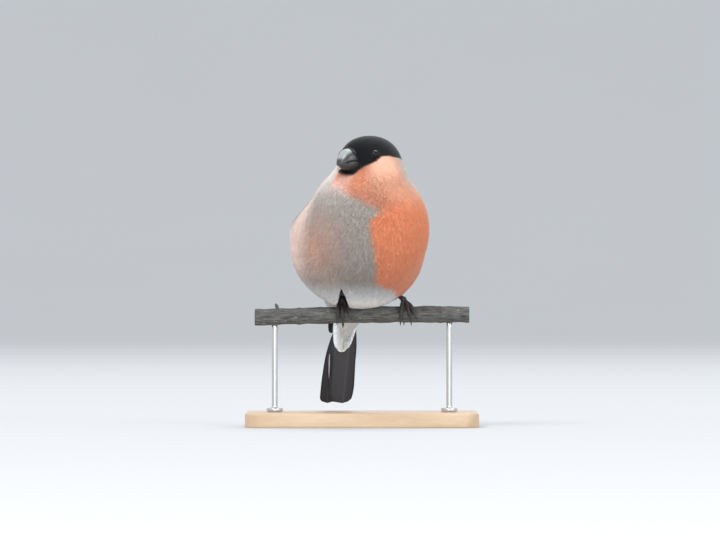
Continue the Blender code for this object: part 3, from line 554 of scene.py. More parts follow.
starts, rays = skin_rays(SKIN_ROWS, SKIN_SIDES)
form = starts + rays * reach(starts, rays, 0.0, coat_distance)[..., None]
skin_grid = starts + rays * reach(starts, rays, -coat_depth(form), coat_distance)[..., None]
print("form reaches from", form.min(axis=(0, 1)).round(1), "to", form.max(axis=(0, 1)).round(1))

# %% [markdown]
# The unwrap of the skin runs 0 to 1 round the body and 0 to 1 up it, with each row as tall as its
# share of the whole area. The same table of areas lets feathers be scattered evenly: two fractions
# pick a row by its area and then a place along that row. The fractions come from a sequence that
# fills a square without clumps, like the tidy rows of real feather tracts.

# %% Unwrap and scatter
cell_across = np.linalg.norm(np.roll(form, -1, axis=1) - form, axis=-1)
cell_up = np.linalg.norm(form[1:] - form[:-1], axis=-1)
cell_area = 0.5 * (cell_across[1:] + cell_across[:-1]) * cell_up
row_share = np.concatenate([[0.0], np.cumsum(cell_area.sum(axis=1))])
row_share /= row_share[-1]
print("area of the coat in square cm:", round(cell_area.sum() / 100.0, 1))


def grid_point(grid, at_row, at_side):
    """A point between four neighbours of the grid, at fractions of its rows and columns."""
    i, j = np.minimum(at_row.astype(int), len(grid) - 2), at_side.astype(int) % SKIN_SIDES
    k = (j + 1) % SKIN_SIDES
    u, v = (at_row - i)[:, None], (at_side % 1.0)[:, None]
    low = grid[i, j] * (1.0 - v) + grid[i, k] * v
    high = grid[i + 1, j] * (1.0 - v) + grid[i + 1, k] * v
    return low * (1.0 - u) + high * u


def scatter(count, density, seed):
    """Points on the form, spread by density times area, with their places on the unwrap.

    The n-th pair of fractions is n times two irrational steps, which never repeat or clump.
    """
    middles = 0.25 * (form[1:] + form[:-1] + np.roll(form[1:] + form[:-1], -1, axis=1))
    weight = cell_area * density(middles)
    by_row = np.concatenate([[0.0], np.cumsum(weight.sum(axis=1))])
    number = np.arange(count) + 100.0 * seed
    first, second = (number * 0.7548776662) % 1.0, (number * 0.5698402910) % 1.0
    at = np.interp(first * by_row[-1], by_row, np.arange(SKIN_ROWS))
    i = np.minimum(at.astype(int), SKIN_ROWS - 2)
    along = np.cumsum(weight, axis=1)
    along = np.concatenate([np.zeros((len(along), 1)), along / along[:, -1:]], axis=1)[i]
    j = np.clip((along < second[:, None]).sum(axis=1) - 1, 0, SKIN_SIDES - 1)
    low, high = (np.take_along_axis(along, (j + k)[:, None], 1)[:, 0] for k in (0, 1))
    at_side = j + (second - low) / np.maximum(high - low, 1e-12)
    unwrap = np.stack([at_side / SKIN_SIDES, np.interp(at, np.arange(SKIN_ROWS), row_share)], axis=-1)
    return grid_point(form, at, at_side), unwrap


# %% [markdown]
# ## Finishes
# A few effects turn up in many materials, so each is a node group with named sockets. *Uneven tint*
# lightens and darkens a colour with soft noise. *Streaks* is noise pulled out along one axis, for
# wood, horn and brushed steel. *Barbs* draws the fine slanting lines of a feather and its pale
# shaft from the feather's own unwrap. Each group gives only colours and masks; the shader stays in
# the material.

# %% Node helpers
def new_group(name, inputs, outputs):
    """A shader node group with named sockets: (name, kind, default) in, (name, kind) out."""
    tree = bpy.data.node_groups.new(name, "ShaderNodeTree")
    for label, kind, value in inputs:
        socket = tree.interface.new_socket(label, in_out="INPUT", socket_type="NodeSocket" + kind)
        socket.default_value = value
    for label, kind in outputs:
        tree.interface.new_socket(label, in_out="OUTPUT", socket_type="NodeSocket" + kind)
    return tree, tree.nodes.new("NodeGroupInput").outputs, tree.nodes.new("NodeGroupOutput")


def connect(tree, node, inputs):
    """Fill a node's sockets by name or number, each with a value or with another node's socket."""
    for name, value in inputs.items():
        socket = node.inputs[name.replace("_", " ") if isinstance(name, str) else name]
        if isinstance(value, bpy.types.NodeSocket):
            tree.links.new(value, socket)
        else:
            socket.default_value = value


def add(tree, kind, inputs=None, **settings):
    """The outputs of a new node, after its settings and its inputs are filled in."""
    node = tree.nodes.new("ShaderNode" + kind)
    for name, value in settings.items():
        setattr(node, name, value)
    connect(tree, node, inputs or {})
    return node.outputs


def math_node(tree, operation, a, b=0.0, c=0.0, clamp=False):
    """One sum on values or sockets."""
    return add(tree, "Math", {0: a, 1: b, 2: c}, operation=operation, use_clamp=clamp)[0]


def vector_node(tree, operation, a, b):
    """One sum on vectors; to scale one, b is a single number."""
    second = "Scale" if operation == "SCALE" else 1
    return add(tree, "VectorMath", {0: a, second: b}, operation=operation)[0]


def mix_colour(tree, factor, a, b):
    """One colour laid over another."""
    return add(tree, "Mix", {0: factor, 6: a, 7: b}, data_type="RGBA")[2]


def place_group(tree, group, **inputs):
    """The outputs of a node group placed in a material, its sockets given by name."""
    return add(tree, "Group", inputs, node_tree=group)


def new_material(name, roughness, **constants):
    """A material and its shader; every constant goes straight onto the shader's own socket."""
    material = bpy.data.materials.new(name)
    material.use_nodes = True
    shader = material.node_tree.nodes["Principled BSDF"]
    connect(material.node_tree, shader, {"Roughness": roughness, **constants})
    return material, material.node_tree, shader


def bump(tree, shader, height, strength, distance):
    """Let a height roughen the shader's normal."""
    relief = add(tree, "Bump", {"Height": height, "Strength": strength, "Distance": distance})
    connect(tree, shader, {"Normal": relief[0]})


# %% Shared effects
def make_uneven_tint():
    """Colour times (1 + amount x (noise - 0.5) x 2), the noise read at Vector times Scale."""
    tree, given, out = new_group(
        "Uneven tint",
        [("Color", "Color", (1, 1, 1, 1)), ("Vector", "Vector", (0, 0, 0)), ("Scale", "Float", 300.0),
         ("Amount", "Float", 0.1)],
        [("Color", "Color"), ("Mask", "Float")],
    )
    noise = add(tree, "TexNoise", {"Vector": given["Vector"], "Scale": given["Scale"], "Detail": 3.0})[0]
    swing = math_node(tree, "MULTIPLY_ADD", noise, 2.0, -1.0)
    gain = math_node(tree, "MULTIPLY_ADD", swing, given["Amount"], 1.0)
    connect(tree, out, {"Color": vector_node(tree, "SCALE", given["Color"], gain), "Mask": noise})
    return tree


def make_streaks():
    """Noise read at Vector times Stretch, sharpened round its middle by Contrast."""
    tree, given, out = new_group(
        "Streaks",
        [("Vector", "Vector", (0, 0, 0)), ("Stretch", "Vector", (100, 1000, 1000)),
         ("Contrast", "Float", 2.0)],
        [("Mask", "Float")],
    )
    spread = vector_node(tree, "MULTIPLY", given["Vector"], given["Stretch"])
    noise = add(tree, "TexNoise", {"Vector": spread, "Scale": 1.0, "Detail": 4.0, "Roughness": 0.6})[0]
    centred = math_node(tree, "SUBTRACT", noise, 0.5)
    connect(tree, out, {"Mask": math_node(tree, "MULTIPLY_ADD", centred, given["Contrast"], 0.5, clamp=True)})
    return tree


def make_barbs():
    """Slanting barb lines and the shaft of a feather, from its unwrap: across 0-1, along 0-1.

    Height is a sine of (along x Count - |across - 0.5| x Slant), and the shaft is a narrow ridge.
    """
    tree, given, out = new_group(
        "Barbs",
        [("Count", "Float", 90.0), ("Slant", "Float", 30.0)],
        [("Height", "Float"), ("Shaft", "Float")],
    )
    across, along, _ = add(tree, "SeparateXYZ", {0: add(tree, "UVMap", uv_map="Vane")[0]})
    off = math_node(tree, "ABSOLUTE", math_node(tree, "SUBTRACT", across, 0.5))
    lines = math_node(tree, "MULTIPLY", along, given["Count"])
    lines = math_node(tree, "SUBTRACT", lines, math_node(tree, "MULTIPLY", off, given["Slant"]))
    wave = math_node(tree, "SINE", math_node(tree, "MULTIPLY", lines, 6.2832))
    shaft = math_node(tree, "SUBTRACT", 1.0, math_node(tree, "MULTIPLY", off, 22.0), clamp=True)
    ridge = math_node(tree, "MULTIPLY", shaft, 2.0)
    connect(tree, out, {"Height": math_node(tree, "ADD", math_node(tree, "MULTIPLY", wave, 0.5), ridge),
                        "Shaft": shaft})
    return tree


UNEVEN, STREAKS, BARBS = make_uneven_tint(), make_streaks(), make_barbs()
print("shared effects:", [group.name for group in (UNEVEN, STREAKS, BARBS)])

# %% [markdown]
# Most finishes begin in the same few ways: with the piece's own painted colours, with a colour made
# uneven, or with streaks that change colour, gloss and height together, as growth lines do in horn
# and brush marks do in steel. Every pattern is read at the place on the model in metres.

# %% How finishes begin
def object_place(tree):
    """The place on the model in metres, the same for every piece."""
    return add(tree, "TexCoord")["Object"]


def painted(tree):
    """The colours written on the piece's vertices."""
    return add(tree, "Attribute", attribute_name="Plumage")["Color"]


def tinted(tree, colour, scale, amount):
    """A colour made uneven by noise of a scale."""
    place = object_place(tree)
    return place_group(tree, UNEVEN, Color=colour, Vector=place, Scale=scale, Amount=amount)["Color"]


def streaks(tree, stretch, contrast):
    """A mask of streaks, stretched by its own amount on each axis."""
    return place_group(tree, STREAKS, Vector=object_place(tree), Stretch=stretch, Contrast=contrast)["Mask"]


def brushed(tree, shader, colour, mask, shade, rough, strength, depth):
    """Streaks in colour, roughness and height; shade and rough are (share of the mask, base)."""
    gain = math_node(tree, "MULTIPLY_ADD", mask, *shade)
    connect(tree, shader, {"Base Color": vector_node(tree, "SCALE", colour, gain),
                           "Roughness": math_node(tree, "MULTIPLY_ADD", mask, *rough)})
    bump(tree, shader, mask, strength, depth)


# %% [markdown]
# Small feathers are dull and soft: almost no mirror shine, and a faint glow at glancing angles where
# light catches the loose barbs. Flight feathers use the same painted colours on a closed, glossy web
# with its barbs and shaft drawn in relief. Coverts lie between the two.

# %% Plumage finishes
SHAFT_COLOUR, BARB_DEPTH = (0.09, 0.085, 0.08, 1.0), 0.00012


def make_feather(name, roughness, tint, barbs=None, relief=0.0, shaft=0.0, **constants):
    """Painted colours made uneven; barbs as (count, slant) in relief, and a shaft this strong."""
    material, tree, shader = new_material(name, roughness, **constants)
    colour = tinted(tree, painted(tree), *tint)
    if barbs:
        lines = place_group(tree, BARBS, Count=barbs[0], Slant=barbs[1])
        bump(tree, shader, lines["Height"], relief, BARB_DEPTH)
    if shaft:
        colour = mix_colour(tree, math_node(tree, "MULTIPLY", lines["Shaft"], shaft), colour, SHAFT_COLOUR)
    connect(tree, shader, {"Base Color": colour})
    return material


PLUMAGE = make_feather("plumage", 0.85, (260.0, 0.10), Sheen_Weight=0.35, Sheen_Roughness=0.45,
                       Specular_IOR_Level=0.15)
FLIGHT = make_feather("flight feather", 0.36, (420.0, 0.14), (70.0, 16.0), 0.35, 0.35,
                      Specular_IOR_Level=0.45, Coat_Weight=0.15, Coat_Roughness=0.25)
SOFT_VANE = make_feather("covert feather", 0.75, (700.0, 0.16), (26.0, 9.0), 0.3,
                         Sheen_Weight=0.2, Specular_IOR_Level=0.2)

# %% [markdown]
# With its finish ready, the skin can be made. It stands in for the solid head, neck and torso. Its
# colour is the coat's, dulled like the grey down at the root of every feather, so a gap between two
# feathers looks like shade and not like a hole.

# %% The skin
def make_skin():
    """The grid of rays as one closed surface, its end rows drawn together in poles."""
    shape = closed_rings(skin_grid[1:-1], skin_grid[[0, -1], 0])
    points = shape[0]
    stand = bird_to_stand(points)
    # Painted shade: the skin in the partings at the legs is painted black.
    dark = step(leg_cleft(stand), -1.2, 0.8)
    for side in JOINTS:
        dark = np.maximum(dark, step(-leg_distance(stand, side), -1.6, 0.8))
    ahead, across, height = split(bird_to_head(points))
    by_bill = step(ahead, 11.0, 1.0) * step(-np.abs(across), -8.6, 0.8) * step(height, 138.6, 0.8)
    colour = over(marking(points) * 0.8, (DOWN_GREY * 0.7, np.full(len(points), 0.25)),
                  (CAP_BLACK, np.maximum(dark, by_bill)))
    make_piece("skin", [shape], PLUMAGE, "breast", "head", "neck", "torso", colours=colour)


make_skin()

# %% [markdown]
# ## The lie of the plumage
# Feathers point away from the bill on the head and down towards the tail on the body. At the
# shoulder they sweep out over the top of the wing, and on the flank back over its lower edge. The
# direction at each root is that sweep pressed flat on to the form. The folded wing adds its own
# thickness under the feathers that overlap it, so those are lifted clear.

# %% Lie and lift
WING_HEIGHT = 2.3


def wing_lift(points):
    """The wing's thickness under the coat on its front half, fading outside its edges."""
    along, share = wing_place(points)
    return WING_HEIGHT * between(along, 4.0, 12.0, 44.0, 16.0) * between(share, -0.14, 0.36, 1.25, 0.6)


def lie_of_coat(points, normals):
    """Unit directions in which feathers lie: the sweep less its part along the normal."""
    from_bill = unit(points - head_to_bird((27.0, 0.0, 146.0)))
    side = np.sign(points[:, 1])[:, None] * LEFT
    along, share = wing_place(points)
    near_wing = between(along, 0.0, 14.0, 66.0, 8.0)
    over_top = near_wing * between(share, 0.7, 0.5, 1.5, 0.6)
    over_flank = near_wing * between(share, -0.5, 0.5, 0.4, 0.5)
    down = np.array((-0.22, 0.0, -1.0)) + 0.35 * over_top[:, None] * side
    down = down + over_flank[:, None] * (np.array((-0.75, 0.0, 0.1)) - 0.2 * side)
    ahead, _, height = split(bird_to_head(points))
    throat = step(ahead, 8.0, 9.0) * step(-height, -141.5, 4.0) * step(height, 116.0, 16.0)
    forward = turned(AHEAD, HEAD_TURN) * 0.5 - UP
    return square_to(over(down, (from_bill, step(points[:, 2], 134.0, 18.0)), (forward, throat)), normals)


def plume_size(points):
    """How large a feather is here: 1 on the breast, least on the face, most under the tail."""
    ahead, _, height = split(bird_to_head(points))
    x, _, z = split(points)
    size = 1.0 - 0.62 * step(z, 138.0, 18.0)
    size = size * (1.0 - 0.4 * step(ahead, 9.0, 8.0) * step(height, 138.5, 4.0))
    return size * (1.0 + 0.35 * step(-z, -66.0, 14.0) * step(-x, 10.0, 10.0))


# %% [markdown]
# ## Feathers by the thousand
# A body feather is a shallow three-edged blade: two sides that spread and close again in a round
# tip, and a crest between them. It is a small closed solid of 20 triangles. All of a region's
# feathers are made in one array of shape feathers x rings x 3. Each point is then moved along its
# root's normal until its distance to the form is the level it should have: deep at the root, at the
# surface near the tip. That one step bends every feather round the body and lifts it over the wing.
# Feathers that would still reach the branch or a leg are left out.

# %% Blades
def drape(points, normals, level):
    """Move points along their normals until their distance to the form is the level given."""
    for _ in range(2):
        off = level + wing_lift(points) - plump_distance(points)
        points = points + normals * np.clip(off, -4.0, 4.0)[..., None]
    return points


def clear_of_feet(points):
    """Which feathers keep out of the branch and out of the partings where the legs come through."""
    stand = bird_to_stand(points)
    nearest = np.minimum(perch_distance(stand) + 0.5, 0.25 - leg_cleft(stand))
    for side in JOINTS:
        nearest = np.minimum(nearest, leg_distance(stand, side) + 0.4)
    return nearest.reshape(len(points), -1).min(axis=1) > 0.0


def blades(roots, directions, normals, back, long, wide, deep, tip, thick, outline):
    """Feathers as arrays: each ring has a left edge, a right edge and a crest between them.

    Measures have one value a feather; level = deep (1 - part^0.7) + tip part^0.7, plus the crest.
    """
    part = np.linspace(0.0, 1.0, len(outline))[None, :, None]
    across = np.cross(normals, directions)[:, None, None, :]
    starts = roots - directions * np.reshape(back, (-1, 1))
    middle = starts[:, None, None, :] + directions[:, None, None, :] * (long[:, None, None] * part)[..., None]
    offset = wide[:, None, None] * np.array(outline)[None, :, None] * np.array((-1.0, 1.0, 0.0))
    points = middle + across * offset[..., None]
    rise = part ** 0.7
    crest = np.array((-0.5, -0.5, 0.5)) * thick[:, None, None]
    level = deep[:, None, None] * (1.0 - rise) + tip[:, None, None] * rise + crest
    return drape(points, np.broadcast_to(normals[:, None, None, :], points.shape), level)


def blade_corners(count, rings):
    """Corners for many three-edged blades: three sides a ring, and a triangle at each end."""
    sides = grid_corners(rings, 3)
    ends = np.array(((0, 2, 1), (3 * rings - 3, 3 * rings - 2, 3 * rings - 1)))
    shift = (np.arange(count) * 3 * rings)[:, None, None]
    return (sides + shift).reshape(-1, 4), (ends + shift).reshape(-1, 3)


# %% [markdown]
# Each piece of coat grows from its roots in one go. Its feathers sway a little off the lie of the
# coat, differ a little in tone, and are lighter at the tip. Each also gets a small patch on the
# skin's unwrap, where its root lies, so that baked colours can be shared by the whole coat. Hard
# facets would glitter, so the normals are drawn towards those of the plump form.

# %% Growing a piece of coat
SWAY, UNEVEN_TONE = 0.10, 0.045
PATCH_ACROSS, PATCH_CREST, PATCH = np.array((-0.5, 0.5, 0.0)), np.array((0.0, 0.0, 0.12)), 0.003


def soften_normals(obj, normals, share):
    """Blend each vertex's own normal with the form's, so the coat shades as one soft surface."""
    own = np.empty(len(obj.data.vertices) * 3, np.float32)
    obj.data.vertices.foreach_get("normal", own)
    blend = own.reshape(-1, 3) * (1.0 - share) + normals * share
    obj.data.normals_split_custom_set_from_vertices(unit(blend))


def grow(name, slot, roots, unwrap, make, gain, softness, seed):
    """One piece of coat; make gives its blades, and gain lightens them from root to tip."""
    dice = np.random.default_rng(seed)
    normals = outward(roots)
    directions = lie_of_coat(roots, normals)
    sway = dice.normal(0.0, SWAY, len(roots))[:, None]
    points = make(roots, unit(directions + np.cross(normals, directions) * sway), normals, dice)
    keep = clear_of_feet(points)
    points, roots, normals, unwrap = points[keep], roots[keep], normals[keep], unwrap[keep]
    count, rings = points.shape[:2]
    obj = make_mesh(name, bird_to_stand(points.reshape(-1, 3)) * MM, *blade_corners(count, rings))
    tone = 1.0 + dice.normal(0.0, UNEVEN_TONE, (count, 1))
    colours = (marking(roots, seed) * tone)[:, None, None] * np.linspace(*gain, rings)[:, None, None]
    paint(obj, np.broadcast_to(colours, points.shape).reshape(-1, 3))
    patch_up = np.linspace(-0.5, 0.5, rings)[:, None] + PATCH_CREST
    patch = np.stack(np.broadcast_arrays(PATCH_ACROSS, patch_up), axis=-1) * PATCH
    unwrap_by_point(obj, "OFBake", (unwrap[:, None, None] + patch).reshape(-1, 2))
    form_normals = turned(np.broadcast_to(normals[:, None, None], points.shape), BIRD_TURN)
    soften_normals(obj, form_normals.reshape(-1, 3), softness)
    settle(obj, PLUMAGE, slot)


# %% [markdown]
# Three kinds of feather cover the body. Broad ones give the smooth, overlapping surface. Fine loose
# barbs lie over them and break their edges, and they are what makes the outline of a bird look
# soft. Long ones droop over the edges of the folded wing. Each kind is one function of the roots.

# %% Kinds of feather
BLADE_OUTLINE = np.interp(np.linspace(0.0, 1.0, 4), (0.0, 0.35, 0.7, 1.0), (0.42, 0.95, 0.92, 0.14))
BARB_OUTLINE, EDGE_OUTLINE = (1.0, 0.15), (0.4, 0.8, 1.0, 0.8, 0.12)


def body_feathers(roots, directions, normals, dice):
    """Broad feathers, several times as long as they are far apart."""
    size = plume_size(roots) * dice.uniform(0.85, 1.12, len(roots))
    tip = dice.uniform(-0.6, -0.1, len(roots)) * size
    return blades(roots, directions, normals, 2.6 * size, 7.6 * size, 1.9 * size,
                  -0.85 * coat_depth(roots), tip, 0.24 * size, BLADE_OUTLINE)


def loose_barbs(roots, directions, normals, dice):
    """Fine soft strands over the feathers, which break their edges and the outline."""
    size = plume_size(roots) * dice.uniform(0.8, 1.25, len(roots))
    tip = dice.uniform(-0.15, 0.35, len(roots)) * size
    return blades(roots, directions, normals, 1.4 * size, 4.2 * size, 0.14 * size,
                  -0.7 * size, tip, 0.14 * size, BARB_OUTLINE)


def edge_feathers(long, wide):
    """Long loose feathers for the edges of the wing: scapulars above it, flank feathers below."""
    def make(roots, directions, normals, dice):
        """Their blades, with lengths and widths that vary together."""
        size = dice.uniform(0.85, 1.15, len(roots))
        tip = dice.uniform(-0.2, 0.3, len(roots))
        return blades(roots, directions, normals, 2.0, long * size, wide * size,
                      np.full(len(roots), -1.6), tip, 0.3 * size, EDGE_OUTLINE)
    return make


# %% [markdown]
# The coat grows in bands from belly to crown, so that no piece is too large to handle. Roots lie
# closer where feathers are small, and none grow under the folded wing, on the bill or on the tail.

# %% Where the small feathers grow
BANDS = {"belly": (0.0, 84.0), "flank": (84.0, 101.0), "breast": (101.0, 118.0), "throat": (118.0, 134.0),
         "cheek": (134.0, 145.5), "crown": (145.5, 152.5), "top": (152.5, 200.0)}
BILL_BASE = ((139.5, 141.5, 144.0, 146.0, 148.0, 150.5, 153.0), (13.4, 12.6, 11.9, 13.0, 14.8, 16.0, 15.8))
EDGE_GAIN, EDGE_SOFTNESS, EDGE_COUNT = (0.72, 0.92), 0.6, 12000


def fades(points):
    """Chance that a feather grows here: none under the folded wing, on the bill or on the tail."""
    along, share = wing_place(points)
    fore = 1.0 - step(along, 38.0, 14.0)
    inside = between(share, -0.05 + 0.27 * fore, 0.06, 1.12 - 0.36 * fore, 0.06)
    under_wing = between(along, 18.5, 3.0, 74.0, 4.0) * inside
    ahead, side, height = split(bird_to_head(points))
    bill = step(ahead + 0.3 * np.sin(height * 2.1 + side), np.interp(height, *BILL_BASE), 0.8)
    bill = bill * step(-np.abs(side), -8.4, 1.0) * step(height, 140.9, 0.6) * step(-height, -153.0, 1.0)
    on_form = step(plump_distance(points), -0.7, 0.3)
    down, above = tail_place(points)
    on_tail = np.maximum(step(down, 13.0, 2.0), step(down, 4.0, 2.0) * step(above, 0.0, 1.0))
    return (1.0 - under_wing) * (1.0 - bill) * on_form * (1.0 - on_tail)


def grow_in_bands(kind, count, make, gain, softness, seed):
    """A whole coat of one kind of feather, as one piece for each band of height."""
    roots, unwrap = scatter(count, lambda p: 1.0 / plume_size(p) ** 1.7, seed)
    grows = fades(roots) > 0.5
    for number, (band, (low, high)) in enumerate(BANDS.items()):
        here = grows & (roots[:, 2] >= low) & (roots[:, 2] < high)
        slot = "black_cap" if band in ("crown", "top") else "breast"
        grow("{}_{}".format(kind, band), slot, roots[here], unwrap[here], make, gain, softness, seed + number)


def grow_by_wing(name, run, across, make, seed):
    """Feathers rooted between two places down the wing and two shares across it, on both sides."""
    roots, unwrap = scatter(EDGE_COUNT, lambda p: np.ones(p.shape[:-1]), seed)
    along, share = wing_place(roots)
    here = (along > run[0]) & (along < run[1]) & (share > across[0]) & (share < across[1])
    grow(name, "breast", roots[here], unwrap[here], make, EDGE_GAIN, EDGE_SOFTNESS, seed)


grow_by_wing("scapulars", (-8.0, 18.0), (0.58, 1.15), edge_feathers(9.5, 1.9), 21)
grow_by_wing("flank_feathers", (-2.0, 44.0), (-0.30, 0.10), edge_feathers(8.5, 1.7), 22)
grow_in_bands("feathers", 26000, body_feathers, (0.8, 1.02), 0.6, 11)
grow_in_bands("barbs", 90000, loose_barbs, (0.94, 1.06), 0.7, 31)

# %% [markdown]
# ## Long feathers
# A wing or tail feather is a thin shell with a shaft. The outline widens from the quill, runs nearly
# parallel and closes in a round tip. Across it there are eight points: five over the top, from edge
# to edge, and three back underneath. The web is thickest at the shaft and dished a little between
# shaft and edge. An unwrap from edge to edge and from quill to tip carries the barbs.

# %% One long feather
VANE_ACROSS = np.array((-1.0, -0.5, 0.0, 0.5, 1.0, 0.5, 0.0, -0.5))
VANE_FACE = np.array((0.0, 1.0, 1.0, 1.0, 0.0, -1.0, -1.0, -1.0))
VANE_RINGS, SHAFT_RISE, RIPPLE, WIDEST = 15, 0.09, 0.05, 0.45


def along_vane(rings=VANE_RINGS):
    """Shares of the length, closer together towards the tip."""
    return 1.0 - (1.0 - np.linspace(0.0, 1.0, rings)) ** 1.5


def vane_outline(part, tip):
    """Share of the full width: it rises as a sine to the widest place, and falls as an arc at the tip."""
    fill = 0.5 + 0.5 * np.sin(np.pi / 2.0 * np.minimum(part / WIDEST, 1.0))
    last = np.clip((part - (1.0 - tip)) / tip, 0.0, 1.0)
    return fill * np.sqrt(np.maximum(1.0 - last ** 2.4, 0.004))


def vane_shell(middle, side, face, outer, inner, thick, tilt, tip, dish):
    """Rings of eight points round a feather: its web, wider on the inner side, and its shaft.

    Height over the middle is face x thickness, less the tilt across, less dish x across squared.
    """
    side, face = np.broadcast_to(side, middle.shape), np.broadcast_to(face, middle.shape)
    part, across = along_vane(len(middle))[:, None], VANE_ACROSS[None, :]
    width = np.where(across < 0.0, outer * across, inner * across) * vane_outline(part, tip)
    web = 0.5 * thick * (1.0 - 0.55 * np.abs(across)) * (1.0 - 0.4 * part)
    shaft = np.where(across == 0.0, SHAFT_RISE, 0.0) * (1.0 - part)
    ripple = RIPPLE * np.sin(part * 23.0 + 3.0 * across)
    height = VANE_FACE * (web + shaft) - tilt * across - dish * across ** 2 + ripple
    return middle[:, None] + side[:, None] * width[..., None] + face[:, None] * height[..., None]


def vane_unwrap(rings):
    """Places of a feather's points on its unwrap, with its two end points last."""
    places = np.stack(np.broadcast_arrays(0.5 + 0.5 * VANE_ACROSS, along_vane(rings)[:, None]), axis=-1)
    return np.concatenate([places.reshape(-1, 2), [(0.5, 0.0), (0.5, 1.0)]])


def with_ends(colours):
    """Colours of a tube's points, with those of its two end points last."""
    flat = colours.reshape(-1, 3)
    return np.concatenate([flat, flat[:1], flat[-1:]])


def make_vanes(name, feathers, material, slot, node):
    """One piece made of long feathers, given as pairs of a shell and its colours."""
    make_piece(name, [closed_rings(shell) for shell, _ in feathers], material, slot, node,
               unwrap=np.concatenate([vane_unwrap(len(shell)) for shell, _ in feathers]),
               colours=np.concatenate([with_ends(colours) for _, colours in feathers]))


# %% [markdown]
# ## Folded wings
# The wing is a fan shut over the side of the back. Longest and lowest are the primaries; the
# secondaries and the three broad tertials lie over them; and rows of coverts roof their quills. The
# greater coverts end in a broad pale band, the mark of the species. Each row is given by its first
# and last feather, as places down the back and across the wing, and the rest fall between.

# %% Places and colours on the wing
# Each tier is its count, the root and end of its first feather and of its last, how far its middle
# bulges, widths of its two webs, height over the bed, thickness and tilt.
TIERS = {
    "primaries": (9, (34, 0.13), (69, 0.14), (42, 0.46), (63, 0.88), 6.6, (1.3, 3.4), 0.8, 0.13, 0.26),
    "secondaries": (6, (30, 0.26), (61, 0.30), (30, 0.64), (56, 0.72), 0.0, (2.0, 3.6), 1.15, 0.16, 0.26),
    "tertials": (3, (27, 0.66), (60, 0.66), (27, 0.84), (47.5, 0.86), 0.0, (3.4, 4.6), 1.6, 0.2, 0.3),
    "primary coverts": (5, (15, 0.13), (34, 0.12), (16, 0.26), (36, 0.26), 0.0, (1.4, 2.6), 1.2, 0.14, 0.16),
    "greater coverts": (11, (19, 0.22), (36, 0.22), (19, 0.86), (33, 0.90), 0.0, (1.8, 3.2), 1.5, 0.15, 0.15),
    "median coverts": (12, (14, 0.18), (27, 0.16), (14, 0.84), (25, 0.88), 0.0, (2.1, 2.9), 1.7, 0.15, 0.12),
}
SOFT_TIERS = ("primary coverts", "greater coverts", "median coverts")
REDDISH, EDGE_GREY, GLOSS_BLUE = srgb(124, 66, 54), srgb(96, 98, 104), srgb(40, 44, 60)
STACK, BED_SIZE = 0.05, (22, 12)


def wing_point(along, across, side, height):
    """Points at a height over the folded wing's bed, from places down the back and across."""
    low, high = np.interp(along, *LOWER_EDGE), np.interp(along, *UPPER_EDGE)
    around = np.radians(low + (high - low) * across)[..., None]
    ray = np.cos(around) * WING_UP + side * np.sin(around) * LEFT
    start = WING_START + along[..., None] * WING_RUN
    far = np.maximum(reach(start, ray, 0.3, coat_distance), np.interp(along, *WING_STRAIGHT))
    return start + ray * (far + height)[..., None], ray


def vane_colour(tier, number, count, side, dice):
    """Colours of a feather's points: a base, a pale tip on the band, and paler outer edges."""
    part, across = along_vane()[:, None], VANE_ACROSS[None, :]
    everywhere = np.ones((VANE_RINGS, len(VANE_ACROSS)))
    tone = 1.0 + dice.normal(0.0, 0.05)
    if tier == "median coverts":
        grey = MANTLE_LEFT if side > 0 else MANTLE_RIGHT
        return grey * tone * ((0.78 + 0.22 * part) * everywhere)[..., None]
    sheen = {"secondaries": 0.6, "tertials": 0.8}.get(tier, 0.15)
    colour = over(WING_BLACK * tone, (GLOSS_BLUE, sheen * (0.4 + 0.6 * part) * everywhere))
    if tier == "primaries":
        colour = over(colour, (EDGE_GREY, step(-across, 0.72, 0.3) * step(part, 0.25, 0.2) * 0.55))
    if tier == "tertials" and number == count - 1 and side > 0:
        colour = over(colour, (REDDISH, step(-across, 0.45, 0.5) * step(-part, -0.92, 0.1)))
    if tier == "greater coverts":
        ragged = part + 0.06 * np.abs(across) + dice.normal(0.0, 0.015)
        colour = over(colour, (WING_BAR * (0.98 if side > 0 else 0.9), step(ragged, 0.60, 0.14)))
    return colour


# %% [markdown]
# Every feather of a tier is laid on the wing's bed along the line from its root to its end, a little
# higher than the one before, with its broad web turned up the wing. Ends are set off by chance, less
# for stiff feathers than for soft ones.

# %% The feathers of a wing
def wing_vanes(side, soft, seed):
    """Shells and colours of one wing's stiff feathers, or of its soft coverts."""
    dice = np.random.default_rng(seed)
    part = along_vane()
    quill = np.interp(part, (0.0, 0.35, 1.0), (-0.5, 0.0, 0.0))
    end_noise, side_noise, dish = (0.6, 0.012, 0.12) if soft else (0.25, 0.0, 0.2)
    feathers = []
    for tier in (name for name in TIERS if (name in SOFT_TIERS) == soft):
        count, root_a, end_a, root_b, end_b, bulge, widths, height, thick, tilt = TIERS[tier]
        for number in range(count):
            share = number / (count - 1.0)
            root = np.array(root_a) + (np.array(root_b) - root_a) * share
            end = np.array(end_a) + (np.array(end_b) - end_a) * share
            end[0] += bulge * math.sin(math.pi * share ** 0.75) + dice.normal(0.0, end_noise)
            end[1] += dice.normal(0.0, side_noise)
            along, across = (root[k] + (end[k] - root[k]) * part for k in (0, 1))
            middle, face = wing_point(along, across, side, height + quill + STACK * number)
            beside, _ = wing_point(along, across + 0.04, side, height + quill)
            toward = square_to(beside - middle, unit(np.gradient(middle, axis=0)))
            tip = 0.16 if tier == "primaries" else 0.28
            shell = vane_shell(middle, toward, face, *widths, thick, tilt, tip, dish)
            feathers.append((shell, vane_colour(tier, number, count, side, dice)))
    return feathers


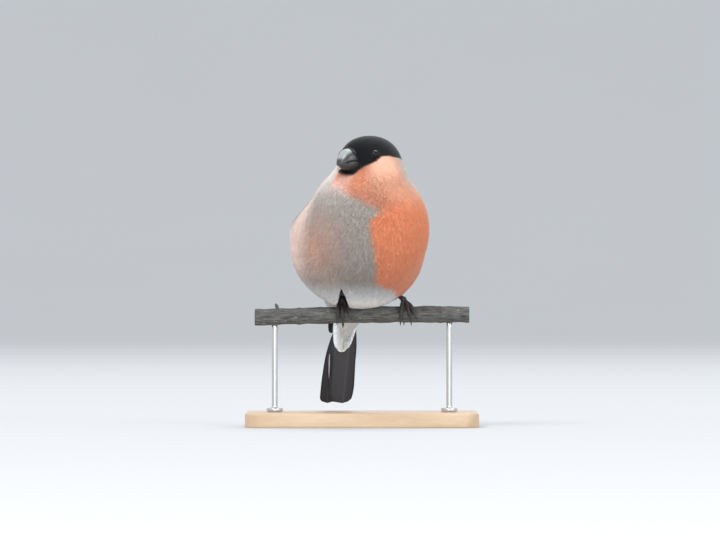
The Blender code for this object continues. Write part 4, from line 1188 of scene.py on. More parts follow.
def wing_bed(side):
    """A thin dark sheet under the feathers, so that no gap between them shows the coat."""
    along = np.broadcast_to(np.linspace(15.0, 61.0, BED_SIZE[0])[:, None], BED_SIZE)
    across = np.broadcast_to(np.linspace(0.13, 0.92, BED_SIZE[1]), BED_SIZE)
    inset = np.sin(np.pi * np.linspace(0.02, 0.98, BED_SIZE[1])) ** 0.5
    top, _ = wing_point(along, across, side, 0.05 + 0.3 * inset)
    bottom, _ = wing_point(along, across, side, -0.3)
    return closed_rings(np.concatenate([top, bottom[:, ::-1]], axis=1))


for label, side, seed in (("left", 1.0, 51), ("right", -1.0, 52)):
    node = "wing_" + label
    make_vanes("wing_feathers_" + label, wing_vanes(side, False, seed), FLIGHT, "flight_feather", node)
    make_vanes("wing_coverts_" + label, wing_vanes(side, True, seed + 2), SOFT_VANE, "wing", node)
    bed = wing_bed(side)
    make_piece("wing_bed_" + label, [bed], FLIGHT, "wing", node, colours=WING_BLACK,
               unwrap=np.full((len(bed[0]), 2), 0.2))

# %% [markdown]
# ## Tail
# Twelve feathers, shut nearly to the width of one pair: the middle pair lies on top and each next
# pair a little lower and further out. The one furthest to the bird's right has slipped aside, as in
# the photo, and leaves a sliver of light, painted on a narrow pale feather.

# %% Tail feathers
TAIL_LENGTH, TAIL_DRIFT, TAIL_NOTCH, TAIL_PAIRS = 54.2, -1.6, 2.4, 6
TAIL_FURTHEST, TAIL_START, TAIL_TIP, TAIL_LAYER = 4.3, 4.0, 0.07, 0.42
# The pale sliver grey on this line is painted light: the sliver of light beside the slipped feather.
TAIL_DARK, TAIL_SHEEN, PAINTED_SLIVER_LIGHT = srgb(29, 34, 42), srgb(64, 71, 81), srgb(164, 172, 182)
BROAD_WEB = ((0.0, 0.33, 0.62, 0.92, 1.0), (8.0, 11.4, 10.3, 8.6, 8.2))
BROAD_EDGE = ((0.5, 0.8, 0.93, 1.0), (4.6, 5.5, 5.0, 3.9))


def tail_point(down_by, across_by, layer):
    """Points on the tail: down it, to the bird's left, and below its upper side."""
    down_by, across_by, layer = (v[..., None] for v in np.broadcast_arrays(down_by, across_by, layer))
    drift = TAIL_DRIFT * down_by / TAIL_LENGTH
    return TAIL_ROOT + down_by * TAIL_DOWN + (1.6 - layer) * TAIL_TOP + (across_by + drift) * LEFT


def tail_path(number, side, part):
    """How far to the left a tail feather's shaft runs at each share of its length."""
    if side < 0 and number == TAIL_PAIRS - 1:
        return -2.3 - 1.7 * part - 1.4 * np.sin(np.pi * part)
    spread = side * (0.7 + TAIL_FURTHEST * number / (TAIL_PAIRS - 1.0))
    shut = 0.3 if side < 0 else 0.62
    return spread * (shut + (1.0 - shut) * part ** 0.8)


def tail_feathers():
    """Shells and colours of the twelve tail feathers, the middle pair first."""
    part, dice, feathers = along_vane(), np.random.default_rng(61), []
    for number in range(TAIL_PAIRS):
        length = TAIL_LENGTH - TAIL_NOTCH * (1.0 - number / (TAIL_PAIRS - 1.0)) ** 1.5
        down_by = TAIL_START + (length - TAIL_START) * part
        for side in (1.0, -1.0):
            lowest = side > 0 and number == TAIL_PAIRS - 1
            inner = np.interp(part, *BROAD_WEB)[:, None] if lowest else 4.8
            outer = np.interp(part, *BROAD_EDGE)[:, None] if lowest else 4.4
            layer = TAIL_LAYER * number + (0.25 if side > 0 else 0.0)
            middle = tail_point(down_by, tail_path(number, side, part), layer)
            shell = vane_shell(middle, -side * LEFT, TAIL_TOP, outer, inner, 0.3, 0.10, TAIL_TIP, 0.05)
            web = step(VANE_ACROSS, -0.45, 0.7) * (0.62 if lowest else 0.15) * np.ones((VANE_RINGS, 1))
            feathers.append((shell, over(TAIL_DARK * (1.0 + dice.normal(0.0, 0.05)), (TAIL_SHEEN, web))))
    return feathers


def tail_sliver():
    """The strip of light beside the broad web, painted pale on a narrow feather along its edge."""
    down_by = np.linspace(24.0, 39.5, VANE_RINGS)
    part = (down_by - TAIL_START) / (TAIL_LENGTH - TAIL_START)
    web = np.interp(part, *BROAD_WEB) * vane_outline(part, TAIL_TIP)
    edge = tail_path(TAIL_PAIRS - 1, 1.0, part) - web + 0.3
    middle = tail_point(down_by, edge, TAIL_LAYER * TAIL_PAIRS + 0.15)
    shell = vane_shell(middle, LEFT, TAIL_TOP, 0.42, 0.42, 0.2, 0.0, 0.6, 0.0)
    return shell, np.broadcast_to(PAINTED_SLIVER_LIGHT, shell.shape)


make_vanes("tail_feathers", tail_feathers() + [tail_sliver()], FLIGHT, "flight_feather", "tail")

# %% [markdown]
# Tail coverts hide the quills: soft white ones below, and glossy black ones above. They are short
# vanes in rows, and each row is rolled round the tail and stands higher the nearer it lies to the
# root, so that the bundle swells smoothly into the vent.

# %% Tail coverts
# Each row is how far down the tail it ends, its count, its half width and its rise over the quills.
UNDER_ROWS = ((22.4, 8, 2.9, 0.3), (21.4, 11, 3.9, 0.5), (19.8, 14, 4.6, 0.8), (18.0, 15, 5.0, 1.1),
              (15.8, 16, 5.4, 1.4), (13.2, 16, 5.8, 1.6), (10.4, 16, 6.1, 1.9), (7.6, 16, 6.5, 2.2),
              (4.8, 16, 6.9, 2.4))
UPPER_ROWS = ((21.0, 5, 3.8, 0.4), (18.0, 6, 4.8, 0.7), (15.0, 7, 5.6, 1.0), (12.0, 8, 6.2, 1.3),
              (9.0, 9, 6.7, 1.6), (6.0, 9, 7.0, 1.9))
COVERT_RINGS, COVERT_LENGTH, COVERT_WIDTH, UNDER_LAYER = 9, 13.0, 2.2, 3.7


def tail_coverts(rows, above, seed):
    """Rows of soft feathers over the quills, each row shorter and fewer towards the end."""
    dice, part, feathers = np.random.default_rng(seed), along_vane(COVERT_RINGS), []
    base, shift, top = (WING_BLACK, 0.0, TAIL_TOP) if above else (COVERT_WHITE, -0.4, -TAIL_TOP)
    for end, count, width, rise in rows:
        for share in np.linspace(-1.0, 1.0, count):
            stop = end - 2.0 * share ** 2 + dice.normal(0.0, 0.2)
            bulk = rise * (1.0 - 0.45 * share ** 2) * np.interp(part, (0.0, 0.5, 1.0), (0.7, 1.0, 0.55))
            middle = tail_point(stop - COVERT_LENGTH + COVERT_LENGTH * part,
                                share * width * (0.75 + 0.25 * part) + shift,
                                -bulk if above else UNDER_LAYER + bulk)
            face = top * math.cos(0.9 * share) + LEFT * math.sin(0.9 * share)
            shell = vane_shell(middle, np.cross(face, TAIL_DOWN), face, COVERT_WIDTH, COVERT_WIDTH,
                               0.14, 0.0, 0.4, 0.10)
            tone = 1.0 + dice.normal(0.0, 0.04)
            colour = base * tone * (0.86 + 0.14 * part)[:, None, None]
            feathers.append((shell, np.broadcast_to(colour, shell.shape)))
    return feathers


make_vanes("under_tail_coverts", tail_coverts(UNDER_ROWS, False, 71), PLUMAGE, "breast", "tail")
make_vanes("upper_tail_coverts", tail_coverts(UPPER_ROWS, True, 72), FLIGHT, "flight_feather", "tail")

# %% [markdown]
# ## Bill
# The bill is short and swollen, like a seed cracker's pliers. Each half is a dome over a cutting edge
# whose width, height and mouth line all shrink to the tip, faster at the end than at the root. Its
# sides are black, and a pale grey highlight is painted along the ridge. It is horn, so it gets fine
# growth streaks and a gloss; the claws use the same finish later.

# %% Bill
BILL_ROOT, BILL_TIP, BILL_OVERHANG, BILL_HOOK = 9.0, 23.2, 1.3, 0.9
BILL_ROWS, BILL_ARCH, BILL_FLOOR = 40, 36, 9
# The pale bill grey on this line is a painted highlight on the ridge.
BILL_HIGHLIGHT_GREY, BILL_DARK, BILL_EDGE = srgb(156, 162, 160), srgb(43, 45, 44), srgb(104, 103, 99)


def make_horn(name, roughness, stretch, depth):
    """Horn for bill and claws: the piece's own colour, fine growth streaks and a wet gloss."""
    material, tree, shader = new_material(name, roughness, Specular_IOR_Level=0.5, Coat_Weight=0.35,
                                          Coat_Roughness=0.2)
    mask = streaks(tree, stretch, 1.4)
    brushed(tree, shader, painted(tree), mask, (0.35, 0.8), (0.16, roughness - 0.05), 0.12, depth)
    return material


def bill_section(part):
    """Half width, culmen, mouth and underside of the bill at a share of its length."""
    half = 6.1 * (1.0 - part ** 3.0) ** 0.66 + 0.9 * (1.0 - part) ** 5.0
    mouth = 145.4 + 0.5 * np.sin(np.pi * part) - 1.6 * part ** 4
    culmen = mouth + 7.4 * (1.0 - part ** 3.6) ** 0.75
    under = mouth - 5.4 * (1.0 - part ** 4.0) ** 0.8
    return half, culmen, mouth, under


def make_bill(name, upper):
    """Rings of a dome over an edge: side = w cos(bow), height = floor + (crest - floor) sin(bow)^0.8."""
    part = np.minimum(np.sin(np.linspace(0.0, math.pi / 2.0, BILL_ROWS)), 0.992)[:, None]
    half, culmen, mouth, under = bill_section(part)
    bow = np.linspace(0.0, math.pi, BILL_ARCH)[None, :]
    bite = np.linspace(-1.0, 1.0, BILL_FLOOR + 2)[None, 1:-1]
    length = BILL_TIP - BILL_ROOT - (0.0 if upper else BILL_OVERHANG)
    floor, crest = (mouth + 0.08, culmen) if upper else (mouth - 0.08, under)
    width, arch = (half, 0.3) if upper else (half * 0.93, -0.3)
    hook = BILL_HOOK * part ** 6 if upper else 0.0
    side = np.concatenate([width * np.cos(bow), width * bite], axis=1)
    lift = np.concatenate([floor + (crest - floor) * np.sin(bow) ** 0.8 - hook,
                           floor - hook + arch * (1.0 - bite ** 2)], axis=1)
    ahead = np.broadcast_to(BILL_ROOT + length * part, side.shape)
    if upper:
        around = np.concatenate([np.sin(bow) ** 2, np.zeros((1, BILL_FLOOR))], axis=1)
        # Painted highlight: a pale grey band along the top of the upper bill, where it catches the light.
        ridge = step(lift + 0.16 * (ahead - 14.0), 148.3, 1.8) * step(around, 0.45, 0.5)
        colour = over(BILL_DARK, (BILL_HIGHLIGHT_GREY, ridge * 0.9))
    else:
        colour = over(BILL_DARK, (BILL_EDGE, step(-part, -0.55, 0.6) * 0.35 * np.ones(side.shape)))
    rings = head_to_bird(np.stack([ahead, side, lift], axis=-1))
    make_piece(name, [closed_rings(rings)], BILL, "bill", name, colours=with_ends(colour))


BILL = make_horn("bill horn", 0.34, (500.0, 500.0, 1500.0), 0.0002)
make_bill("bill_upper", True)
make_bill("bill_lower", False)

# %% [markdown]
# ## Eyes and lids
# The eye is a plain dark ball with a wet shine, sunk so far that only its front shows. It looks out
# to the side and a little forward. A real lid is a narrow ring of bare skin, so it is a thin torus
# that lies on the ball where it leaves the feathers.

# %% Eyes
EYE_RADIUS, EYE_SUNK, EYE_GRID = 2.9, 1.3, (26, 36)
PUPIL_BLACK, IRIS_BROWN = (0.003, 0.003, 0.003, 1.0), (0.022, 0.011, 0.007, 1.0)
SIDES = (("left", 1.0), ("right", -1.0))


def eye_place(side):
    """The middle of an eyeball, sunk under the surface, and the way it looks."""
    start = head_to_bird((0.0, 0.0, 147.4))
    look = unit(head_to_bird((5.8, 10.9 * side, 148.9)) - start)
    depth = reach(start[None], look[None], 0.0, plump_distance)[0] - EYE_SUNK
    return start + look * depth, look


def eye_axes(look):
    """Level and upward directions square to the way an eye looks."""
    level = unit(np.cross(look, UP))
    return level, np.cross(level, look)


def ball_rings(centre, look, radius, rows, sides, swell=0.0):
    """A ball as rings round the way it looks, its front swollen by a share for the cornea."""
    level, up = eye_axes(look)
    polar = np.linspace(0.02, np.pi - 0.02, rows)[:, None, None]
    turn = full_turn(sides)[None, :, None]
    far = radius * (1.0 + swell * np.exp(-(polar / 0.55) ** 2))
    flat = far * np.sin(polar) * (np.cos(turn) * level + np.sin(turn) * up)
    return centre + flat + far * np.cos(polar) * look


def make_eyes():
    """Two eyeballs, brown at the rim of the iris and black in the pupil, with a wet gloss."""
    material, tree, shader = new_material("eye", 0.06, Specular_IOR_Level=0.22)
    away = add(tree, "SeparateXYZ", {0: add(tree, "UVMap", uv_map="Vane")[0]})[0]
    edge = math_node(tree, "MULTIPLY_ADD", away, 14.0, -3.4, clamp=True)
    connect(tree, shader, {"Base Color": mix_colour(tree, edge, PUPIL_BLACK, IRIS_BROWN)})
    polar = np.append(np.repeat(np.linspace(0.0, 1.0, EYE_GRID[0]), EYE_GRID[1]), (0.0, 1.0))
    for label, side in SIDES:
        rings = ball_rings(*eye_place(side), EYE_RADIUS * 0.985, *EYE_GRID, swell=0.04)
        make_piece("eye_" + label, [closed_rings(rings)], material, "eye", "eye_" + label,
                   unwrap=np.stack([polar, polar], axis=-1))


make_eyes()

# %% [markdown]
# Lids and legs are bare skin with small scales, which cell noise draws: each cell is a scale, and the
# far edge of a cell is a crease. The lids' scales are the finer ones.

# %% Lids
LID_GREY, LID_GRID, LID_FLAT = srgb(22, 21, 22), (48, 12), 0.88


def make_bare_skin(name, colour, scale, roughness):
    """Bare skin: small raised scales from cell noise, darker in the creases between them."""
    material, tree, shader = new_material(name, roughness, Specular_IOR_Level=0.3)
    cells = add(tree, "TexVoronoi", {"Vector": object_place(tree), "Scale": scale}, feature="SMOOTH_F1")
    crease = math_node(tree, "MULTIPLY_ADD", cells["Distance"], -0.9, 1.15, clamp=True)
    colour = tinted(tree, (*colour, 1.0), 900.0, 0.3)
    connect(tree, shader, {"Base Color": vector_node(tree, "SCALE", colour, crease)})
    bump(tree, shader, math_node(tree, "SUBTRACT", 1.0, cells["Distance"]), 0.5, 0.00025)
    return material


def make_lids():
    """A thin torus of bare skin round each eye, flattened from above and below."""
    around, sides = LID_GRID
    turn, roll = full_turn(around)[:, None, None], full_turn(sides)[None, :, None]
    thick = 0.32 + 0.04 * np.sin(turn * 17.0)
    parts = []
    for _, side in SIDES:
        centre, look = eye_place(side)
        level, up = eye_axes(look)
        spoke = np.cos(turn) * level + LID_FLAT * np.sin(turn) * up
        points = centre + spoke * (EYE_RADIUS * 0.91 + thick * np.cos(roll))
        points = points + look * (EYE_SUNK - 0.15 + thick * np.sin(roll))
        parts.append((points.reshape(-1, 3), grid_corners(around + 1, sides) % (around * sides)))
    make_piece("eyelids", parts, make_bare_skin("eyelid skin", LID_GREY, 2600.0, 0.8), "leg_skin", "head")


make_lids()

# %% [markdown]
# ## Bristles
# Short black bristles lean forward over the nostrils and the root of the upper bill. Each is a thin
# three-sided blade with three rings, rooted on the bill's own curve just behind the edge of the
# feathers, so that the bill looks as if it grows out of the face.

# %% Bristles
BRISTLES, BRISTLE_HALF = 620, 0.13


def make_bristles():
    """Bristles as blades: a point at a share t along is root + length t lean - 0.5 t^2 out."""
    dice = np.random.default_rng(81)
    bow = np.radians(dice.uniform(2.0, 178.0, BRISTLES))
    base = np.interp(145.4 + 7.2 * np.sin(bow) ** 0.8, *BILL_BASE)
    back = base - dice.uniform(0.9, 3.2, BRISTLES)
    half, culmen, mouth, _ = bill_section((back - BILL_ROOT) / (BILL_TIP - BILL_ROOT))
    lift = mouth + (culmen - mouth) * np.sin(bow) ** 0.8 + 0.15
    root = np.stack([back, half * np.cos(bow) * 1.03, lift], axis=-1)
    out = np.stack([np.zeros(BRISTLES), np.cos(bow), np.sin(bow)], axis=-1)
    length = dice.uniform(1.2, 2.4, BRISTLES)
    lean = AHEAD + out * dice.uniform(-0.04, 0.18, BRISTLES)[:, None]
    lean = unit(lean + dice.normal(0.0, 0.12, (BRISTLES, 3)))
    part = np.array((0.0, 0.5, 1.0))[:, None, None]
    turns = np.radians((90.0, 210.0, 330.0))[:, None]
    thin = (np.cos(turns) * LEFT + np.sin(turns) * UP) * BRISTLE_HALF * (1.0 - 0.85 * part)
    run = lean[:, None, None] * length[:, None, None, None] * part
    points = root[:, None, None] + run - out[:, None, None] * (0.5 * part ** 2) + thin
    make_piece("bristles", [(head_to_bird(points.reshape(-1, 3)), *blade_corners(BRISTLES, 3))],
               PLUMAGE, "black_cap", colours=CAP_BLACK)


make_bristles()

# %% [markdown]
# ## Legs and feet
# A songbird's toes are wrapped in broad plates in front, so each toe is a tube round a path over the
# branch whose radius rises and falls a little at every plate. The paths and radii are the solids'
# own. Claws go on from the toes, round the bark, and taper along a curve.

# %% Toes and claws
TOES = {
    "right": ((-11.0, -10.6, 118.0), (-12.5, -13.5, 100.0), (-9.6, -6.8, 80.0), (-10.6, -10.2, -110.0)),
    "left": ((24.0, 26.3, 104.0), (25.0, 29.0, 88.0), (22.2, 21.3, 112.0), (22.6, 23.0, -112.0)),
}
TOE_RADIUS, JOINT_RADIUS, TOE_DISTANCE, TOE_FROM = 1.05, 1.75, 5.97, 8.0
CLAW_LENGTHS, CLAW_RADIUS, CLAW_BEND = (5.6, 4.8, 4.8, 4.8), 0.82, 0.9
LEG_BROWN, CLAW_BLACK = srgb(64, 58, 58), srgb(38, 33, 32)
LEG = make_bare_skin("leg skin", LEG_BROWN, 1500.0, 0.55)
CLAW = make_horn("claw horn", 0.3, (900.0, 900.0, 900.0), 0.0001)


def tube_rings(path, radii, sides, flatten=1.0):
    """Circles square to a path: the first side direction is carried along without twisting."""
    run = unit(np.gradient(path, axis=0))
    side = np.cross(run[0], (0.31, 0.87, 0.38))
    turn = full_turn(sides)[:, None]
    rings = []
    for point, direction, radius in zip(path, run, radii):
        side = square_to(side, direction)
        other = flatten * np.cross(direction, side)
        rings.append(point + radius * (np.cos(turn) * side + np.sin(turn) * other))
    return np.array(rings)


def toe_path(x_root, x_end, degrees):
    """A toe's middle line: round the branch from near its top to so many degrees."""
    share = np.linspace(0.0, 1.0, 7)
    first = np.copysign(TOE_FROM, degrees)
    around = np.radians(first + (degrees - first) * share)
    x = x_root + (x_end - x_root) * share ** 0.8
    return np.stack([x, PERCH_Y - TOE_DISTANCE * np.sin(around),
                     perch_line(x) + TOE_DISTANCE * np.cos(around)], axis=-1)


def plates(share, number, amount):
    """Rise and fall of the plates along a toe: 1 + amount x |sin|, a crease between each two."""
    return 1.0 + amount * (np.abs(np.sin(share * math.pi * number)) ** 0.6 - 0.6)


def toe_rings(toe, joint):
    """A toe as rings, its root drawn towards the joint and its tip rounded off."""
    path, share = toe_path(*toe), np.linspace(0.0, 1.0, 64)
    path[0] = 0.4 * path[0] + 0.6 * joint
    tip = np.interp(share, (0.0, 0.93, 1.0), (1.0, 1.04, 0.72))
    radii = TOE_RADIUS * np.linspace(1.05, 0.86, 64) * plates(share, 11, 0.12) * tip
    return tube_rings(smooth_path(path, share), radii, 16)


def claw_rings(toe, length):
    """A claw that goes on from its toe and bends in to the bark by the square of its length."""
    path, bow = toe_path(*toe), np.linspace(0.0, 1.0, 20)[:, None]
    onward = unit(path[-1] - path[-2])
    start = path[-1] - onward * 0.5
    inward = unit(np.array((0.0, PERCH_Y - start[1], perch_line(toe[1]) - start[2])))
    claw = start + length * bow * onward + CLAW_BEND * bow ** 2 * inward
    return tube_rings(claw, CLAW_RADIUS * (1.0 - 0.86 * bow[:, 0] ** 1.2), 14, 0.8)


# %% Legs
def make_leg(side):
    """A foot's joint and toes in one piece, its shank above, and its claws."""
    joint, top = np.array(JOINTS[side]), np.array(SHANK_TOPS[side])
    look = unit(top - joint)
    rings = [toe_rings(toe, joint) for toe in TOES[side]] + [ball_rings(joint, look, JOINT_RADIUS, 18, 24)]
    make_piece("foot_" + side, map(closed_rings, rings), LEG, "leg_skin", "foot_" + side, on_bird=False)
    share = np.linspace(0.0, 1.0, 40)
    path = smooth_path(np.linspace(joint + look, top, 5), share)
    radii = np.interp(share, np.linspace(0.0, 1.0, 5), (1.45, 1.2, 1.2, 1.4, 1.7)) * plates(share, 6, 0.08)
    make_piece("shank_" + side, [closed_rings(tube_rings(path, radii, 20, 0.86))], LEG, "leg_skin",
               "shank_" + side, on_bird=False)
    claws = [closed_rings(claw_rings(toe, length)) for toe, length in zip(TOES[side], CLAW_LENGTHS)]
    make_piece("claws_" + side, claws, CLAW, "claw", *("claw_{}_{}".format(side, n) for n in (1, 2, 3, 4)),
               on_bird=False, colours=CLAW_BLACK)


make_leg("right")
make_leg("left")

# %% [markdown]
# ## The cut branch
# The perch is a length of thin grey-brown branch, sawn square at both ends. Its radius wavers, two
# old leaf scars swell round it, and a small bud stands on it. Bark is three effects at three
# scales: long shallow streaks, a fine roughness all over, and pale corky dots. The sawn ends show
# rings of growth.

# %% Bark and sawn wood
BARK_DARK, BARK_PALE, CORK = (*srgb(54, 54, 53), 1.0), (*srgb(110, 110, 107), 1.0), (0.42, 0.38, 0.32, 1.0)
LATE_WOOD, EARLY_WOOD = (0.40, 0.31, 0.21, 1.0), (0.50, 0.40, 0.28, 1.0)
DOTS_CHOSEN, RING_RATE, RING_BLUR = 0.72, 9000.0, 0.0007


def make_bark():
    """Streaked bark with pale corky dots: cells of noise, of which about one in four is chosen."""
    material, tree, shader = new_material("bark", 0.82, Specular_IOR_Level=0.25)
    place, mask = object_place(tree), streaks(tree, (170.0, 1100.0, 1100.0), 2.6)
    colour = tinted(tree, mix_colour(tree, mask, BARK_DARK, BARK_PALE), 45.0, 0.28)
    spread = vector_node(tree, "MULTIPLY", place, (170.0, 420.0, 420.0))
    cells = add(tree, "TexVoronoi", {"Vector": spread, "Scale": 1.0})
    dot = math_node(tree, "MULTIPLY_ADD", cells["Distance"], -9.0, 1.9, clamp=True)
    random = add(tree, "SeparateColor", {0: cells["Color"]})[0]
    dot = math_node(tree, "MULTIPLY", dot, math_node(tree, "GREATER_THAN", random, DOTS_CHOSEN))
    colour = mix_colour(tree, math_node(tree, "MULTIPLY", dot, 0.6), colour, CORK)
    connect(tree, shader, {"Base Color": colour})
    fine = add(tree, "TexNoise", {"Vector": place, "Scale": 1400.0, "Detail": 4.0})[0]
    height = math_node(tree, "MULTIPLY_ADD", dot, 0.8, mask)
    bump(tree, shader, math_node(tree, "MULTIPLY_ADD", fine, 0.5, height), 0.6, 0.0004)
    return material


def make_cut_wood():
    """Growth rings round the branch's middle: a sine of the distance from it, blurred by noise."""
    material, tree, shader = new_material("sawn wood", 0.75, Specular_IOR_Level=0.25)
    place = object_place(tree)
    centre = vector_node(tree, "SUBTRACT", place, (0.0, PERCH_Y * MM, PERCH_Z * MM))
    flat = vector_node(tree, "MULTIPLY", centre, (0.0, 1.0, 1.0))
    far = add(tree, "VectorMath", {0: flat}, operation="LENGTH")[1]
    noise = add(tree, "TexNoise", {"Vector": place, "Scale": 300.0, "Detail": 3.0})[0]
    far = math_node(tree, "MULTIPLY_ADD", noise, RING_BLUR, far)
    wave = math_node(tree, "SINE", math_node(tree, "MULTIPLY", far, RING_RATE))
    rings = math_node(tree, "MULTIPLY_ADD", wave, 0.5, 0.5)
    connect(tree, shader, {"Base Color": mix_colour(tree, rings, LATE_WOOD, EARLY_WOOD)})
    bump(tree, shader, rings, 0.3, 0.0001)
    return material


BARK, CUT_WOOD = make_bark(), make_cut_wood()

# %% Branch and bud
BRANCH_ROWS, BRANCH_SIDES, SCARS = 260, 64, (-34.5, 43.0)
BUD_X, BUD_LENGTH = -46.2, 3.6


def branch_radius(x, turn):
    """Radius by place and turn: slow waves, two scars as narrow bells, fine lumps, worn ends."""
    slow = 0.12 * np.sin(x * 0.21) + 0.08 * np.sin(x * 0.53 + 1.0)
    scars = sum(0.28 * np.exp(-((x - at) / 1.1) ** 2) for at in SCARS)
    lumps = 0.07 * np.sin(3.0 * turn + x * 0.4) + 0.05 * np.sin(5.0 * turn - x * 0.9)
    return PERCH_RADIUS + slow + scars + lumps - np.interp(np.abs(x), (58.5, 59.0), (0.0, 0.3))


def make_branch():
    """The bark as a wrapped grid along the branch, and a disc of sawn wood at each end."""
    x = np.linspace(-PERCH_LENGTH / 2.0, PERCH_LENGTH / 2.0, BRANCH_ROWS)[:, None]
    turn = full_turn(BRANCH_SIDES)[None, :]
    radius = branch_radius(x, turn)
    rings = np.stack([x * np.ones_like(turn), PERCH_Y - radius * np.sin(turn),
                      perch_line(x) + radius * np.cos(turn)], axis=-1)
    obj = make_piece("branch", [closed_rings(rings)], BARK, "bark", "perch", on_bird=False)
    obj.data.materials.append(CUT_WOOD)
    sawn = np.arange(len(obj.data.polygons)) >= (BRANCH_ROWS - 1) * BRANCH_SIDES
    obj.data.polygons.foreach_set("material_index", sawn.astype(np.int32))
    obj.data.polygons.foreach_set("use_smooth", ~sawn)


def make_bud():
    """A pointed bud in overlapping scales on a short spur, leaning along the branch."""
    base = np.array((BUD_X, PERCH_Y - 1.2, perch_line(BUD_X) + 4.1))
    share = np.linspace(0.0, 1.0, 26)
    path = base + unit(np.array((-0.45, -0.15, 1.0))) * (BUD_LENGTH * share)[:, None]
    scales = 1.0 + 0.12 * ((share * 4.0) % 1.0)
    radii = np.interp(share, (0.0, 0.25, 0.5, 0.8, 1.0), (1.0, 0.75, 0.95, 0.6, 0.12)) * scales
    make_piece("bud", [closed_rings(tube_rings(path, radii, 20))], BARK, "bark", on_bird=False)


make_branch()
make_bud()

# %% [markdown]
# ## The stand
# A small block of waxed pale wood and two brushed steel rods hold the branch just high enough for
# the tail to hang free. The block's corners and edges are rounded in one go: its outline is a
# rounded rectangle, drawn in near the top and bottom by a quarter circle. Each rod is turned from
# one piece, as on a lathe: a foot with a rounded edge, a fillet and a straight stem.

# %% Wood and steel
GRAIN_DARK, GRAIN_PALE, STEEL_GREY = (0.46, 0.31, 0.19, 1.0), (0.62, 0.46, 0.31, 1.0), (0.60, 0.60, 0.59)


def make_base_wood():
    """Waxed wood: broad bands of grain for the colour, and fine pores for colour, gloss and relief."""
    material, tree, shader = new_material("waxed beech", 0.45, Specular_IOR_Level=0.4, Coat_Weight=0.2,
                                          Coat_Roughness=0.3)
    grain = mix_colour(tree, streaks(tree, (14.0, 160.0, 60.0), 2.4), GRAIN_DARK, GRAIN_PALE)
    pores = streaks(tree, (160.0, 2400.0, 2400.0), 2.0)
    brushed(tree, shader, grain, pores, (0.16, 0.9), (0.14, 0.4), 0.15, 0.0001)
    return material


def make_steel():
    """Brushed steel: streaks round the rod, all in the metal's own grey."""
    material, tree, shader = new_material("brushed steel", 0.3, Metallic=1.0)
    mask = streaks(tree, (300.0, 300.0, 6000.0), 1.6)
    brushed(tree, shader, STEEL_GREY, mask, (0.12, 0.9), (0.18, 0.22), 0.08, 0.00005)
    return material


# %% Base and rods
BASE_SIZE, BASE_CORNER, BASE_BEVEL, CORNER_POINTS = (128.0, 86.0, 8.0), 9.0, 1.2, 12
ROD_X, ROD_RADIUS, ROD_INTO_BARK = {"left": -48.0, "right": 48.0}, 1.6, 1.5
FOOT_Z, FOOT_RADIUS, FOOT_HEIGHT, FOOT_EDGE, FILLET = 8.3, 4.5, 2.0, 0.5, 1.0


def rounded_outline(inset):
    """A rectangle with quarter circles at its corners, drawn in by so much all round."""
    quarter = np.linspace(0.0, np.pi / 2.0, CORNER_POINTS)
    points = []
    for number, signs in enumerate(((1, 1), (-1, 1), (-1, -1), (1, -1))):
        turn = quarter + number * np.pi / 2.0
        middle = np.array(signs) * (np.array(BASE_SIZE[:2]) / 2.0 - BASE_CORNER)
        points.append(middle + (BASE_CORNER - inset) * np.stack([np.cos(turn), np.sin(turn)], axis=-1))
    return np.concatenate(points)


def make_base():
    """Outlines stacked up the height, with the edge's quarter circle at the top and bottom."""
    roll = np.linspace(0.0, np.pi / 2.0, 7)
    inset, low = BASE_BEVEL * (1.0 - np.sin(roll)), BASE_BEVEL * (1.0 - np.cos(roll))
    insets = np.concatenate([[8.0], inset, inset[::-1], [8.0]])
    heights = np.concatenate([low[:1], low, BASE_SIZE[2] - low[::-1], BASE_SIZE[2] - low[:1]])
    rings = [np.column_stack([rounded_outline(inset), np.full(4 * CORNER_POINTS, height)])
             for inset, height in zip(insets, heights)]
    make_piece("base", [closed_rings(np.array(rings))], make_base_wood(), "base_wood", "stand_base",
               on_bird=False)


def lathe(radii, heights, sides, x=0.0, y=0.0):
    """Rings of points turned about an upright line through x and y."""
    turn, radii, heights = full_turn(sides), radii[:, None], heights[:, None]
    across = (x + radii * np.cos(turn), y + radii * np.sin(turn))
    return np.stack(np.broadcast_arrays(*across, heights), axis=-1)


def make_rods():
    """The rods' outline, turned: a rounded edge at the foot, then a fillet, then the stem."""
    steel = make_steel()
    roll = np.linspace(0.0, np.pi / 2.0, 6)
    early, late = 1.0 - np.sin(roll), 1.0 - np.cos(roll)
    top = FOOT_Z + FOOT_HEIGHT
    radii = np.concatenate([FOOT_RADIUS - FOOT_EDGE * early, FOOT_RADIUS - FOOT_EDGE * late,
                            ROD_RADIUS + FILLET * early, np.full(12, ROD_RADIUS)])
    for label, x in ROD_X.items():
        stem = np.linspace(FOOT_Z + 3.4, perch_line(x) - PERCH_RADIUS + ROD_INTO_BARK, 12)
        heights = np.concatenate([FOOT_Z + FOOT_EDGE * late, top - FOOT_EDGE * early,
                                  top + FILLET * late, stem])
        rings = lathe(radii, heights, 40, x, PERCH_Y)
        make_piece("rod_" + label, [closed_rings(rings)], steel, "rod_steel", "stand_rod_" + label,
                   on_bird=False)


make_base()
make_rods()

# %% [markdown]
# ## The studio
# The photo was taken on a dull winter day, so the light comes from everywhere and no shadow has an
# edge. A pale sweep of floor and wall, a broad soft light high on the left in front, weaker ones
# from the right and from behind, and an even sky give the same calm look. A fourth lamp lies low in
# front, because snow on the ground throws light up under the tail.

# %% Floor and backdrop
PAPER, SWEEP_SIDES = (0.54, 0.55, 0.56, 1.0), 96


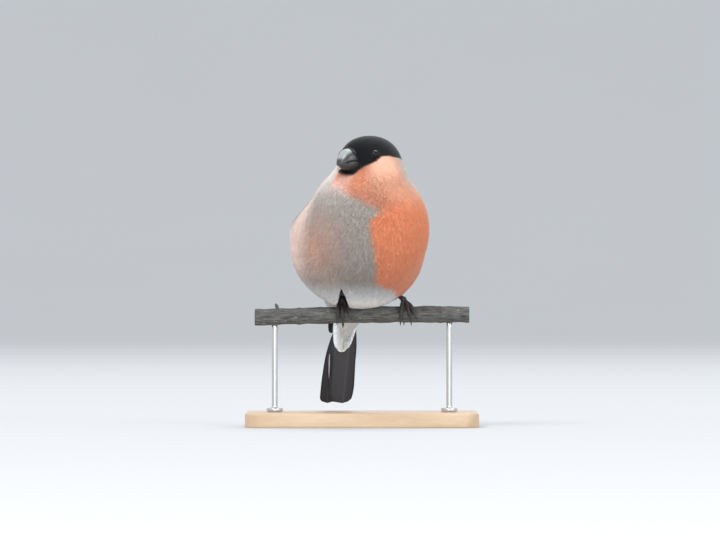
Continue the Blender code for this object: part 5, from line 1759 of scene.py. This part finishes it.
def make_sweep():
    """A round room: a flat floor, a quarter circle up, and a wall, all turned about the middle."""
    bend = np.linspace(0.0, math.pi / 2.0, 20)
    radius = np.concatenate([[0.02, 0.3, 1.0, 2.5, 4.0], 5.0 + 2.0 * np.sin(bend), [7.0]])
    height = np.concatenate([np.zeros(5), 2.0 - 2.0 * np.cos(bend), [9.0]])
    points = np.concatenate([lathe(radius, height, SWEEP_SIDES).reshape(-1, 3), [(0.0, 0.0, 0.0)]])
    middle = fan_corners(np.arange(SWEEP_SIDES)[::-1], len(points) - 1)
    walls = grid_corners(len(radius), SWEEP_SIDES)
    obj = make_mesh("sweep", points, walls[:, ::-1], middle[:, ::-1], closed=False)
    obj.visible_shadow = obj.visible_diffuse = obj.visible_glossy = False
    material, tree, shader = new_material("pale paper", 0.9, Specular_IOR_Level=0.2)
    connect(tree, shader, {"Base Color": tinted(tree, PAPER, 6.0, 0.01)})
    obj.data.materials.append(material)
    obj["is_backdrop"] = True


make_sweep()


# %% Light
def soft_light(name, place, target, size, watts):
    """A square lamp turned to face its target."""
    lamp = bpy.data.lights.new(name, "AREA")
    lamp.shape, lamp.size, lamp.energy = "SQUARE", size, watts
    obj = bpy.data.objects.new(name, lamp)
    obj.location = place
    aim = Vector(target) - Vector(place)
    obj.rotation_euler = aim.to_track_quat("-Z", "Y").to_euler()
    obj.visible_camera = False
    bpy.context.scene.collection.objects.link(obj)


soft_light("key", (-1.8, -2.6, 3.2), (0.0, 0.0, 0.1), 2.0, 90.0)
soft_light("fill", (2.6, -2.4, 1.4), (0.0, 0.0, 0.1), 2.0, 40.0)
soft_light("top", (0.3, 1.8, 3.4), (0.0, 0.0, 0.1), 2.0, 60.0)
soft_light("snow", (0.0, -2.8, 0.25), (0.0, 0.0, 0.07), 1.6, 17.0)
sky = bpy.data.worlds.new("sky")
sky.use_nodes = True
sky.node_tree.nodes["Background"].inputs["Color"].default_value = (0.93, 0.96, 1.0, 1.0)
sky.node_tree.nodes["Background"].inputs["Strength"].default_value = 0.92
bpy.context.scene.world = sky
bpy.context.scene.view_settings.view_transform = "Standard"

# %% [markdown]
# ## Camera and measures
# The camera stands four metres off with a long lens, because a wild bird is seen from far away and
# so is drawn nearly without perspective. The last cell measures the whole dressed model and writes
# it beside the box of the solids, so that the two sizes can be compared.

# %% Camera
SENSOR, CAMERA_AWAY, SEEN_WIDTH = 36.0, 4.0, 0.396
eye = bpy.data.cameras.new("camera")
eye.sensor_width, eye.lens, eye.clip_end = SENSOR, SENSOR * CAMERA_AWAY / SEEN_WIDTH, 30.0
camera = bpy.data.objects.new("camera", eye)
camera.location = (-0.0011, -4.006, 0.0862)
camera.rotation_euler = (math.radians(90.0), 0.0, 0.0)
bpy.context.scene.collection.objects.link(camera)
bpy.context.scene.camera = camera

# %% Measure and finish
visual_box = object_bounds()
for axis, low, high, new_low, new_high in zip("xyz", *cad_box, *visual_box):
    print(axis, "solids in mm", round(low * 1000, 1), round(high * 1000, 1),
          "scene", round(new_low * 1000, 1), round(new_high * 1000, 1))
